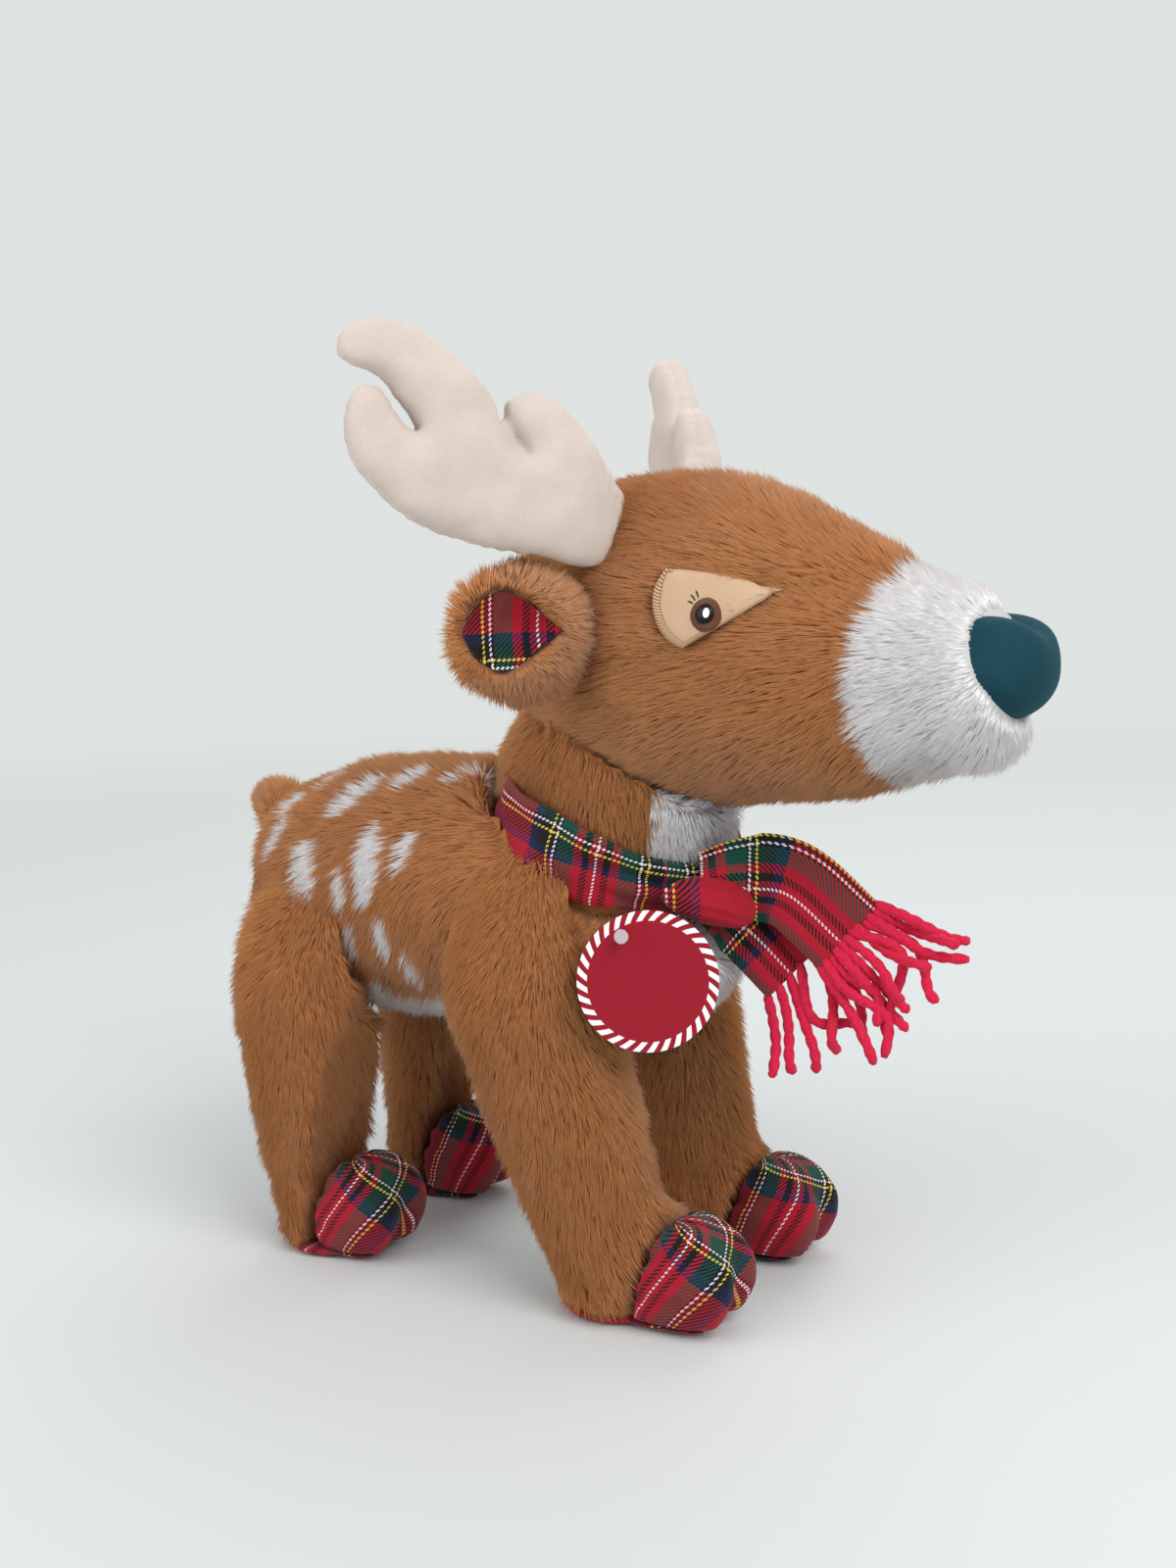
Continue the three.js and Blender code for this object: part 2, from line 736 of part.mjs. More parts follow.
// A flat strip along a row of points, its wide faces square to the facing direction
function strip(points, facing, width, thickness) {
  const curve = new THREE.CatmullRomCurve3(points);
  const steps = 5;
  const corners = [];
  for (let step = 0; step <= steps; step += 1) {
    const middle = curve.getPoint(step / steps);
    const along = curve.getTangent(step / steps);
    const across = new THREE.Vector3().crossVectors(facing, along).normalize();
    const normal = new THREE.Vector3().crossVectors(along, across);
    for (const [a, n] of [[1, -1], [1, 1], [-1, 1], [-1, -1]]) {
      corners.push(
        middle
          .clone()
          .addScaledVector(across, (a * width) / 2)
          .addScaledVector(normal, (n * thickness) / 2),
      );
    }
  }
  const faces = [0, 2, 1, 0, 3, 2];
  for (let ring = 0; ring < steps * 4; ring += 4) {
    for (let corner = 0; corner < 4; corner += 1) {
      const next = (corner + 1) % 4;
      faces.push(ring + corner, ring + next, ring + 4 + next);
      faces.push(ring + corner, ring + 4 + next, ring + 4 + corner);
    }
  }
  const end = steps * 4;
  faces.push(end, end + 1, end + 2, end, end + 2, end + 3);
  const geometry = new THREE.BufferGeometry().setFromPoints(corners);
  geometry.setIndex(faces);
  return solidFrom(geometry);
}
const scarfFacing = new THREE.Vector3(-0.84, -0.51, 0.17).normalize();
const endPoints = (shares, length, behind) =>
  shares.map(([forwardShare, riseShare, inShare]) =>
    knotMiddle
      .clone()
      .addScaledVector(forward, length * forwardShare)
      .addScaledVector(up, length * riseShare)
      .addScaledVector(outward, -length * inShare)
      .addScaledVector(scarfFacing, -behind),
  );
const upperEndShares = [
  [0, 0.02, 0.04],
  [0.22, 0.04, 0.14],
  [0.5, -0.02, 0.28],
  [0.84, -0.36, 0.42],
];
const lowerEndShares = [
  [0, -0.16, 0.04],
  [0.34, -0.36, 0.2],
  [0.74, -0.8, 0.34],
];
const upperPoints = endPoints(upperEndShares, upperEndLength, 0);
const lowerPoints = endPoints(lowerEndShares, lowerEndLength, endClearance + scarfThickness);
const scarfRoom = sweptRoom(
  joined([knotEgg(seamGap), bandRoom, bodyForm(seamGap)]),
  knotMiddle,
  outward,
  -scarfSwing,
  scarfSwing,
);
const upperEnd = strip(upperPoints, scarfFacing, scarfWidth, scarfThickness).subtract(scarfRoom);
const lowerEnd = strip(lowerPoints, scarfFacing, scarfWidth * 0.9, scarfThickness).subtract(scarfRoom);

// Fringe: yarn strands fused to the hem that they hang from
function fringe(points, lengthwise, spreadFrom, spreadTo) {
  const curve = new THREE.CatmullRomCurve3(points);
  const along = curve.getTangent(1);
  const across = new THREE.Vector3().crossVectors(scarfFacing, along).normalize();
  const end = curve.getPoint(1).addScaledVector(along, seamGap);
  const hem = strip(
    [end, end.clone().addScaledVector(along, yarnDiameter)],
    scarfFacing,
    scarfWidth * 0.95,
    scarfThickness,
  );
  const strands = [];
  for (let strand = 0; strand < yarnCount; strand += 1) {
    const share = strand / (yarnCount - 1);
    const way = spreadFrom.clone().lerp(spreadTo, share).normalize();
    const start = end
      .clone()
      .addScaledVector(across, (0.5 - share) * (scarfWidth - yarnDiameter) * 0.95)
      .addScaledVector(along, yarnDiameter * 0.8);
    const length = lengthwise * (1 - 0.18 * (strand % 2));
    const wave = ((strand % 3) - 1) * yarnDiameter * 0.8;
    const rows = [0, 0.35, 0.7, 1].map((part) => ({
      middle: start
        .clone()
        .addScaledVector(along, length * 0.25 * part)
        .addScaledVector(way, length * 0.75 * part)
        .addScaledVector(scarfFacing, wave * Math.sin(part * Math.PI)),
      across: yarnDiameter / 2,
      deep: yarnDiameter / 2,
    }));
    strands.push(
      stuffedForm(rows, {
        side: scarfFacing,
        sides: 4,
        rings: 3,
        startCap: yarnDiameter / 2,
        endCap: yarnDiameter / 2,
        domeRings: 1,
      }),
    );
  }
  return joined([hem, ...strands]);
}
const upperFringe = fringe(
  upperPoints,
  fringeLength,
  new THREE.Vector3(0.38, -0.85, -0.3),
  new THREE.Vector3(0.05, -0.45, -0.85),
);
const lowerFringe = fringe(
  lowerPoints,
  fringeLength,
  new THREE.Vector3(0.1, -0.45, -0.9),
  new THREE.Vector3(-0.12, 0.1, -1),
);

// Swing tag: it hangs from a plastic barb that is pushed through the chest
const tagMiddle = new THREE.Vector3(-tagOut, -tagForward, bodyHeight - tagDrop);
const tagFacing = forward
  .clone()
  .applyAxisAngle(up, radians(-tagTurn))
  .multiplyScalar(Math.cos(radians(tagLean)))
  .addScaledVector(up, Math.sin(radians(tagLean)));
const tagAcross = new THREE.Vector3().crossVectors(up, tagFacing).normalize();
const tagUp = new THREE.Vector3().crossVectors(tagFacing, tagAcross);
const holeMiddle = tagMiddle
  .clone()
  .addScaledVector(tagUp, tagHoleRise)
  .addScaledVector(tagAcross, -tagHoleShift);
function pin(from, way, length, diameter) {
  const geometry = new THREE.CylinderGeometry(diameter / 2, diameter / 2, length, 8);
  geometry.translate(0, length / 2, 0);
  geometry.applyQuaternion(new THREE.Quaternion().setFromUnitVectors(new THREE.Vector3(0, 1, 0), way));
  geometry.translate(from.x, from.y, from.z);
  return solidFrom(geometry);
}
const cardGeometry = new THREE.CylinderGeometry(tagDiameter / 2, tagDiameter / 2, tagThickness, 24);
cardGeometry.rotateX(Math.PI / 2);
cardGeometry.applyMatrix4(new THREE.Matrix4().makeBasis(tagAcross, tagUp, tagFacing));
cardGeometry.translate(tagMiddle.x, tagMiddle.y, tagMiddle.z);
const inward = tagFacing.clone().negate();
const holeCutter = pin(holeMiddle.clone().addScaledVector(tagFacing, overrun / 2), inward, overrun, tagHole);
const tagCard = solidFrom(cardGeometry).subtract(holeCutter);
const tagPivot = holeMiddle.clone().addScaledVector(tagUp, tagHole / 2);
const barbStart = tagPivot
  .clone()
  .addScaledVector(tagUp, -hangGap - barbDiameter / 2)
  .addScaledVector(tagFacing, barbStand);
const barb = joined([
  pin(barbStart, inward, barbReach, barbDiameter),
  pin(barbStart, inward, tagThickness, barbHead),
]).subtract(bodyForm(seamGap));

const brown = { color: 0xb0763d, roughness: 0.95 };
const white = { color: 0xf2f0ec, roughness: 0.95 };
const tartan = { color: 0xa81f30, roughness: 0.85 };
const velour = { color: 0xd8c4b8, roughness: 0.9 };
const filling = { color: 0xfafafa, roughness: 1 };
const sides = ["right", "left"];

const deer = new THREE.Group();
function add(name, solid, look) {
  const mesh = new THREE.Mesh(geometryFrom(solid), new THREE.MeshStandardMaterial({ metalness: 0, ...look }));
  mesh.name = name;
  deer.add(mesh);
}
function addPair(name, solid, look) {
  for (const side of sides) {
    add(`${name}_${side}`, side === "right" ? solid : mirrored(solid), look);
  }
}
add("torso_cover", bodyCover.subtract(bellyEgg(seamGap)).subtract(chestEgg(seamGap)), brown);
add("belly_panel", bodyCover.intersect(bellyEgg(0)).subtract(chestEgg(seamGap)), white);
add("chest_panel", bodyCover.intersect(chestEgg(0)), white);
add("torso_stuffing", bodyStuffing, filling);
add("neck_cover", neckCover.subtract(throatEgg(seamGap)), brown);
add("throat_panel", neckCover.intersect(throatEgg(0)), white);
add("neck_stuffing", neckStuffing, filling);
add("head_cover", headCover.subtract(muzzleOval(seamGap)), brown);
add("head_stuffing", headStuffing, filling);
add("muzzle", headCover.intersect(muzzleOval(0)), white);
add("nose", nose, { color: 0x16343c, roughness: 0.9 });
addPair("eye_patch", eyePatch, velour);
addPair("eye", eyeDisc, { color: 0x3a2012, roughness: 0.5 });
addPair("ear", earCover, brown);
addPair("ear_lining", earLining, tartan);
addPair("antler", antlerCover, velour);
addPair("antler_stuffing", antlerStuffing, filling);
for (const [name, leg] of [["front", frontLeg], ["rear", rearLeg]]) {
  addPair(`${name}_leg`, leg.cover, brown);
  addPair(`${name}_leg_stuffing`, leg.stuffing, filling);
  addPair(`${name}_hoof`, leg.hoof, tartan);
  addPair(`${name}_sole`, leg.sole, tartan);
}
add("tail", tail, brown);
add("scarf_band", scarfBand, tartan);
add("scarf_knot", knot, tartan);
add("scarf_end_upper", upperEnd, tartan);
add("scarf_end_lower", lowerEnd, tartan);
add("fringe_upper", upperFringe, { color: 0xd8304a, roughness: 0.95 });
add("fringe_lower", lowerFringe, { color: 0xd8304a, roughness: 0.95 });
add("swing_tag", tagCard, { color: 0xb01c2a, roughness: 0.5 });
add("tag_barb", barb, { color: 0xe8e4e4, roughness: 0.2 });

// The finished deer stands with the middle of its outer box over the origin
const reach = new THREE.Box3().setFromObject(deer);
deer.position.y = -(reach.min.y + reach.max.y) / 2;

export default deer;
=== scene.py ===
import bpy
import math
import numpy as np
from mathutils import Matrix, Vector, noise
from mathutils.bvhtree import BVHTree
from mathutils.kdtree import KDTree


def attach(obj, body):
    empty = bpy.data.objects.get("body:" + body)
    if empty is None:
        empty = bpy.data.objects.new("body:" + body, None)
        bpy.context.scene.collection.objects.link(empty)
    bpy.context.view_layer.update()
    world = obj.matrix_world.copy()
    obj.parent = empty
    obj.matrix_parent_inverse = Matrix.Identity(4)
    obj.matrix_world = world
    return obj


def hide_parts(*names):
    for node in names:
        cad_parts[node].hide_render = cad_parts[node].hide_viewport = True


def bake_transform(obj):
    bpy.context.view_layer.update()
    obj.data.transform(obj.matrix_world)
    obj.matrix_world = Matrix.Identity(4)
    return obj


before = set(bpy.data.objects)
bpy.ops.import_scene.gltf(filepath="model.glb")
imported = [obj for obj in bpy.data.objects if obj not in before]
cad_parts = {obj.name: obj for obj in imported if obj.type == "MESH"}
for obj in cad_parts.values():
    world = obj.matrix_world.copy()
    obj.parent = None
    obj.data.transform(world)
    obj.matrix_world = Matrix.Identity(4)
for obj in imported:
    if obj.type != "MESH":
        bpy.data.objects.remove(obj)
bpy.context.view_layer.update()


# The room: a pale floor that fades out into a pale wall, a camera beside the deer's right shoulder
# at the height of its head, and three large soft lamps.
view_back = Vector((-0.8445, -0.5176, 0.1374)).normalized()
view_roll = math.radians(-1.6)
view_right = Vector((0, 0, 1)).cross(view_back).normalized()
view_up = view_back.cross(view_right)
camera_right = view_right * math.cos(view_roll) + view_up * math.sin(view_roll)
camera_up = view_up * math.cos(view_roll) - view_right * math.sin(view_roll)
camera_data = bpy.data.cameras.new("camera")
camera_data.sensor_fit = "VERTICAL"
camera_data.sensor_height = 36
camera_data.lens = 40.99
camera = bpy.data.objects.new("camera", camera_data)
camera.matrix_world = Matrix((camera_right, camera_up, view_back)).transposed().to_4x4()
camera.location = (-0.581, -0.349, 0.285)
bpy.context.collection.objects.link(camera)
bpy.context.scene.camera = camera
bpy.context.scene.view_settings.view_transform = "Standard"


def set_inputs(tree, node, inputs):
    for key, value in inputs.items():
        if isinstance(value, bpy.types.NodeSocket):
            tree.links.new(value, node.inputs[key])
        else:
            node.inputs[key].default_value = value


# A new node whose inputs are set or linked, each by its number or its name
def add_node(tree, kind, inputs, operation=None):
    node = tree.nodes.new("ShaderNode" + kind)
    if operation:
        node.operation = operation
    set_inputs(tree, node, inputs)
    return node


def mix_shaders(tree, share, first, second):
    return add_node(tree, "MixShader", {0: share, 1: first, 2: second}).outputs["Shader"]


bpy.ops.object.select_all(action="DESELECT")
bpy.ops.mesh.primitive_circle_add(vertices=96, radius=5, fill_type="NGON", location=(0, 0, -0.0006))
floor = bpy.context.object
floor.name = "floor"
floor_look = bpy.data.materials.new("pale floor")
floor_look.use_nodes = True
floor_tree = floor_look.node_tree
floor_shader = floor_tree.nodes["Principled BSDF"]
set_inputs(floor_tree, floor_shader,
           {"Roughness": 0.9, "Specular IOR Level": 0.1, "Base Color": (0.62, 0.64, 0.63, 1)})
floor_place = floor_tree.nodes.new("ShaderNodeTexCoord").outputs["Object"]
floor_reach = add_node(floor_tree, "VectorMath", {0: floor_place}, "LENGTH").outputs["Value"]
floor_fade = add_node(floor_tree, "MapRange", {"Value": floor_reach, "From Min": 0.45, "From Max": 2.2})
floor_fade.interpolation_type = "SMOOTHSTEP"
floor_clear = floor_tree.nodes.new("ShaderNodeBsdfTransparent").outputs["BSDF"]
floor_seen = mix_shaders(floor_tree, floor_fade.outputs["Result"], floor_shader.outputs["BSDF"], floor_clear)
floor_tree.links.new(floor_seen, floor_tree.nodes["Material Output"].inputs["Surface"])
floor.data.materials.append(floor_look)

world = bpy.data.worlds.new("pale room")
bpy.context.scene.world = world
world.use_nodes = True
room_tree = world.node_tree
room_fill = room_tree.nodes["Background"]
set_inputs(room_tree, room_fill, {"Color": (0.94, 0.97, 1, 1), "Strength": 0.7})
room_wall = add_node(room_tree, "Background", {"Color": (0.735, 0.765, 0.75, 1)}).outputs["Background"]
room_path = room_tree.nodes.new("ShaderNodeLightPath").outputs["Is Camera Ray"]
room_seen = mix_shaders(room_tree, room_path, room_fill.outputs["Background"], room_wall)
room_tree.links.new(room_seen, room_tree.nodes["World Output"].inputs["Surface"])

lamp_aim = Vector((0, 0, 0.18))
for lamp_name, lamp_place, lamp_power, lamp_size in (
    ("window", (-0.7, -1.5, 1.6), 32, 1.3),
    ("rear_fill", (-1.5, 0.9, 0.9), 14, 1.4),
    ("far_rim", (1.3, 0.2, 1.3), 8, 1.2),
):
    lamp_data = bpy.data.lights.new(lamp_name, "AREA")
    lamp_data.energy = lamp_power
    lamp_data.size = lamp_size
    lamp = bpy.data.objects.new(lamp_name, lamp_data)
    lamp.location = lamp_place
    lamp.rotation_euler = (Vector(lamp_place) - lamp_aim).to_track_quat("Z", "Y").to_euler()
    bpy.context.collection.objects.link(lamp)


# Torso: brown plush sewn round a white belly and chest, filled with loose stuffing. The skin is the
# knitted backing, a few millimetres below the tips of the pile that grows on it. The fawn spots are
# woven into the pile of the middle of the barrel.
torso_middle = Vector((0, 0.0505, 0.146))
neck_start = np.array((0, 0.0005, 0.158))
neck_up = np.array((0, -math.sin(math.radians(12)), math.cos(math.radians(12))))
neck_front = np.array((0, -neck_up[2], neck_up[1]))
neck_half = np.array((0.0415, 0.0505))  # to each side and to the front, under the scarf
band_middle = np.array((0, 0.0005, 0.171))
band_up = np.array((0, -math.sin(math.radians(18)), math.cos(math.radians(18))))
pile_reach = 0.009  # the length of a strand
pile_thick = 0.0007  # the width of a strand at its root
plush_slack = 0.0035  # how far the backing lies inside the solid
torso_strands = 46000  # on each side
noise.seed_set(1)  # else the vector noise of the pile starts from the clock
torso_spots = (  # place along the barrel, angle up its side, half length, half width, slant
    (0.130, 56, 0.009, 0.0035, 30),
    (0.115, 69, 0.008, 0.0025, 30),
    (0.094, 55, 0.014, 0.005, 35),
    (0.071, 66, 0.010, 0.004, 35),
    (0.049, 71, 0.007, 0.003, 40),
    (0.130, 34, 0.010, 0.003, 15),
    (0.109, 14, 0.014, 0.0065, 5),
    (0.090, 10, 0.009, 0.003, 0),
    (0.076, 22, 0.015, 0.0065, 5),
    (0.059, 28, 0.008, 0.004, 15),
    (0.147, -11, 0.006, 0.0025, 0),
    (0.104, -16, 0.005, 0.003, 0),
    (0.087, -13, 0.008, 0.003, -10),
    (0.071, -10, 0.008, 0.003, -5),
    (0.095, -38, 0.009, 0.0035, -35),
    (0.080, -44, 0.009, 0.0035, -30),
    (0.060, -25, 0.009, 0.0035, -15),
)


def alone(piece):
    bpy.ops.object.select_all(action="DESELECT")
    piece.select_set(True)
    bpy.context.view_layer.objects.active = piece


def link_piece(name, mesh):
    piece = bpy.data.objects.new(name, mesh)
    bpy.context.collection.objects.link(piece)
    return piece


def points_of(piece):
    return np.array([v.co for v in piece.data.vertices])


def normals_of(piece):
    return np.array([v.normal for v in piece.data.vertices])


def move_to(piece, place):
    piece.data.vertices.foreach_set("co", place.ravel())
    piece.data.update()


def reshape(piece, move):
    move_to(piece, move(points_of(piece)))


def surface_of(piece):
    return BVHTree.FromObject(piece, bpy.context.evaluated_depsgraph_get())


# Merges the points that meet, where a distance is given, and turns the faces outwards
def clean_mesh(piece, merge=0, outwards=True):
    alone(piece)
    bpy.ops.object.mode_set(mode="EDIT")
    bpy.ops.mesh.select_all(action="SELECT")
    if merge:
        bpy.ops.mesh.remove_doubles(threshold=merge)
    if outwards:
        bpy.ops.mesh.normals_make_consistent(inside=False)
    bpy.ops.object.mode_set(mode="OBJECT")


def add_remesh(piece, voxel):
    remesh = piece.modifiers.new("remesh", "REMESH")
    remesh.mode = "VOXEL"
    remesh.voxel_size = voxel


def add_smooth(piece, rounds):
    smooth = piece.modifiers.new("smooth", "SMOOTH")
    smooth.factor = 0.5
    smooth.iterations = rounds


def apply_all(piece):
    alone(piece)
    for modifier in list(piece.modifiers):
        bpy.ops.object.modifier_apply(modifier=modifier.name)


# One skin over several CAD nodes, remeshed evenly, with its facets smoothed. It lies inside their solid
# by the slack, and that solid's surface is given too.
def cut_skin(name, cad_nodes, voxel, slack, rounds=10):
    copies = [link_piece(name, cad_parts[node].data.copy()) for node in cad_nodes]
    alone(copies[0])
    for copy in copies:
        copy.select_set(True)
    if len(copies) > 1:
        bpy.ops.object.join()
    skin = bpy.context.object
    skin.name = name
    skin.data.materials.clear()
    clean_mesh(skin, 0.00001, outwards=False)
    add_remesh(skin, voxel)
    apply_all(skin)
    solid = surface_of(skin)
    add_smooth(skin, rounds)
    apply_all(skin)
    settle(skin, solid, slack, 12)
    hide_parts(*cad_nodes)
    return skin, solid


# Brings a skin back to an even distance inside its solid, which smoothing and air pressure change
def settle(skin, solid, slack, rounds):
    place, out = points_of(skin), normals_of(skin)
    miss = np.zeros(len(place))
    for k, point in enumerate(place):
        near, normal, _, _ = solid.find_nearest(Vector(point))
        gone = Vector(point) - near
        miss[k] = -slack - math.copysign(gone.length, gone.dot(normal))
    pairs = np.array([e.vertices for e in skin.data.edges])
    number = np.bincount(pairs.ravel(), minlength=len(place))
    for _ in range(rounds):
        total = np.bincount(pairs[:, 0], miss[pairs[:, 1]], len(place))
        total += np.bincount(pairs[:, 1], miss[pairs[:, 0]], len(place))
        miss = (miss + total / np.maximum(number, 1)) / 2
    move_to(skin, place + out * miss[:, None])


# Air pressure in a closed skin of cloth, run for a few frames. No point moves further than the cap.
def puff(skin, cap, frames=20):
    before = points_of(skin)
    cloth = skin.modifiers.new("cloth", "CLOTH")
    cloth.settings.use_pressure = True
    cloth.settings.uniform_pressure_force = 2
    cloth.settings.effector_weights.gravity = 0
    cloth.point_cache.frame_start = 1
    cloth.point_cache.frame_end = frames
    for step in range(1, frames + 1):
        bpy.context.scene.frame_set(step)
    move = points_of(skin.evaluated_get(bpy.context.evaluated_depsgraph_get())) - before
    skin.modifiers.clear()
    far = np.linalg.norm(move, axis=1, keepdims=True)
    move *= np.minimum(1, cap / np.maximum(far, 1e-9))
    move_to(skin, before + move)
    bpy.context.scene.frame_set(1)


def refine(skin, rounds=2):
    subdivide = skin.modifiers.new("subdivide", "SUBSURF")
    subdivide.levels = 1
    subdivide.render_levels = 1
    add_smooth(skin, rounds)
    apply_all(skin)
    bpy.ops.object.shade_smooth()


def mirrored(piece):
    mesh = piece.data.copy()
    mesh.transform(Matrix.Scale(-1, 4, (1, 0, 0)))
    mesh.flip_normals()
    return link_piece(piece.name.replace("right", "left"), mesh)


# The pieces of the right side as they are, and then their mirror images for the left side
def both_sides(*pieces):
    yield "right", pieces
    yield "left", tuple(mirrored(piece) for piece in pieces)


def paint(red, green, blue):
    parts = [v / 255 for v in (red, green, blue)]
    return tuple(v / 12.92 if v <= 0.04 else ((v + 0.055) / 1.055) ** 2.4 for v in parts) + (1,)


def new_look(name, roughness, sheen, sheen_tint=(1, 1, 1, 1)):
    look = bpy.data.materials.new(name)
    look.use_nodes = True
    shader = look.node_tree.nodes["Principled BSDF"]
    set_inputs(look.node_tree, shader, {"Roughness": roughness, "Specular IOR Level": 0.2,
                                        "Sheen Weight": sheen, "Sheen Tint": sheen_tint})
    return look, look.node_tree, shader


def maths(tree, operation, *values):
    return add_node(tree, "Math", dict(enumerate(values)), operation).outputs[0]


# A mix of two colours. The node numbers its inputs: 0 is the share, 6 and 7 are the two colours.
def blended(tree, low, high, share):
    mix = tree.nodes.new("ShaderNodeMix")
    mix.data_type = "RGBA"
    set_inputs(tree, mix, {6: low, 7: high, 0: share})
    return mix.outputs[2]


plush_look, plush_tree, plush_shader = new_look("plush", 0.85, 0.3, paint(255, 238, 220))


# A value that is kept on the points of each pile and backing
def written(name):
    node = plush_tree.nodes.new("ShaderNodeAttribute")
    node.attribute_name = name
    return node.outputs["Fac"]


# A pile colour, painted darker at the roots than at the tips: painted shade down among the strands
def shaded_root_to_tip(root, tip):
    return blended(plush_tree, paint(*root), paint(*tip), written("along"))


brown = shaded_root_to_tip((208, 144, 84), (246, 194, 134))
dark_brown = shaded_root_to_tip((192, 126, 70), (234, 176, 114))
mixed_brown = blended(plush_tree, brown, dark_brown, written("shade"))
white = shaded_root_to_tip((250, 249, 250), (255, 255, 255))
plush_colour = blended(plush_tree, mixed_brown, white, written("white"))
plush_tree.links.new(plush_colour, plush_shader.inputs["Base Color"])
plush_through = add_node(plush_tree, "BsdfTranslucent", {"Color": plush_colour}).outputs["BSDF"]
plush_fibre = mix_shaders(plush_tree, 0.5, plush_shader.outputs["BSDF"], plush_through)
plush_path = plush_tree.nodes.new("ShaderNodeLightPath").outputs["Is Shadow Ray"]
plush_thin = maths(plush_tree, "MULTIPLY", plush_path, 0.8)
plush_clear = plush_tree.nodes.new("ShaderNodeBsdfTransparent").outputs["BSDF"]
plush_seen = mix_shaders(plush_tree, plush_thin, plush_fibre, plush_clear)
plush_tree.links.new(plush_seen, plush_tree.nodes["Material Output"].inputs["Surface"])


def mark(mesh, **facts):
    for key, values in facts.items():
        layer = mesh.attributes.new(key, "FLOAT", "POINT")
        layer.data.foreach_set("value", np.asarray(values, np.float32))


# The pile: tapered strands that stand on the backing, combed one way and gathered into locks. Each
# strand is a slim closed spike with its own cell of the UV map, and none reaches below the floor.
def grow_pile(name, skin, strands, seed, comb, where=None, whiteness=None, lean=58, reach=pile_reach):
    rng = np.random.default_rng(seed)
    mesh = skin.data
    mesh.calc_loop_triangles()
    place, out = points_of(skin), normals_of(skin)
    corner = np.array([t.vertices for t in mesh.loop_triangles])
    a, b, c = (place[corner[:, k]] for k in range(3))
    area = np.linalg.norm(np.cross(b - a, c - a), axis=1)
    if where is not None:
        area = area * where((a + b + c) / 3)
    pick = rng.choice(len(corner), strands, p=area / area.sum())
    share = rng.random((strands, 2))
    fold = share.sum(axis=1) > 1
    share[fold] = 1 - share[fold]
    third = np.column_stack((1 - share.sum(axis=1), share))[:, :, None]
    root = (place[corner[pick]] * third).sum(axis=1)
    up = (out[corner[pick]] * third).sum(axis=1)
    up /= np.linalg.norm(up, axis=1, keepdims=True)
    flow = comb(root)
    flow = flow - up * (flow * up).sum(axis=1, keepdims=True)
    flow /= np.maximum(np.linalg.norm(flow, axis=1, keepdims=True), 1e-9)
    stray = np.array([noise.noise_vector(Vector(p) * 95) for p in root])  # changes within a centimetre
    swirl = np.array([noise.noise_vector(Vector(p) * 30) for p in root])  # changes within three
    way = up * math.cos(math.radians(lean)) + flow * math.sin(math.radians(lean))
    way += stray * 0.24 + swirl * 0.26 + rng.normal(0, 0.08, (strands, 3))
    way /= np.linalg.norm(way, axis=1, keepdims=True)
    tip = root + way * reach * (0.75 + 0.45 * rng.random(strands))[:, None]
    locks = rng.choice(strands, max(8, strands // 28), replace=False)
    tree = KDTree(len(locks))
    for number, lock in enumerate(locks):
        tree.insert(root[lock], number)
    tree.balance()
    mine = locks[np.array([tree.find(p)[1] for p in root])]
    tip += (tip[mine] - tip) * (0.04 + 0.22 * rng.random(strands))[:, None]
    tip[:, 2] = np.maximum(tip[:, 2], 0.0002)  # no lower than the floor
    side = np.cross(way, up + 0.001)
    side /= np.linalg.norm(side, axis=1, keepdims=True)
    cross = np.cross(way, side)
    points = np.empty((strands, 4, 3))
    for k in range(3):
        turn = math.radians(120 * k)
        points[:, k] = root + (side * math.cos(turn) + cross * math.sin(turn)) * pile_thick / 2
    points[:, 3] = tip
    faces = np.array([[0, 1, 3], [1, 2, 3], [2, 0, 3], [0, 2, 1]])
    loops = (faces[None] + 4 * np.arange(strands)[:, None, None]).reshape(-1)
    pile_mesh = bpy.data.meshes.new(name)
    pile_mesh.vertices.add(strands * 4)
    pile_mesh.vertices.foreach_set("co", points.ravel())
    pile_mesh.loops.add(len(loops))
    pile_mesh.loops.foreach_set("vertex_index", loops)
    pile_mesh.polygons.add(strands * 4)
    pile_mesh.polygons.foreach_set("loop_start", np.arange(strands * 4) * 3)
    pile_mesh.polygons.foreach_set("loop_total", np.full(strands * 4, 3))
    pile_mesh.polygons.foreach_set("use_smooth", np.ones(strands * 4, bool))
    across = math.ceil(math.sqrt(strands))
    cell = np.column_stack((np.arange(strands) % across, np.arange(strands) // across))
    in_cell = np.array([[0.2, 0.1], [0.8, 0.1], [0.5, 0.2], [0.5, 0.9]])
    spread = ((cell[:, None, :] + in_cell[None]) / across).reshape(-1, 2)[loops]
    pile_mesh.uv_layers.new(name="OFBake").data.foreach_set("uv", spread.ravel())
    whites = whiteness(root) if whiteness else np.zeros(strands)
    # Along is 0 at the roots and 1 at the tips; the roots take the darker pile colour, painted shade among
    # the strands
    mark(
        pile_mesh,
        along=np.tile([0, 0, 0, 1], strands),
        shade=np.repeat(rng.random(strands), 4),
        white=np.repeat(whites, 4),
    )
    pile_mesh.update()
    pile_mesh.materials.append(plush_look)
    return link_piece(name, pile_mesh)


# The backing shows between the strands and takes the pile colour a quarter of the way up from the roots:
# painted shade under the pile
def backing(skin, whiteness=None):
    place = points_of(skin)
    whites = whiteness(place) if whiteness else np.zeros(len(place))
    mark(skin.data, along=np.full(len(place), 0.25), shade=np.full(len(place), 0.5), white=whites)
    skin.data.materials.append(plush_look)


def in_egg(p, middle, halves):
    return ((p - np.array(middle)) ** 2 / np.array(halves) ** 2).sum(axis=1)


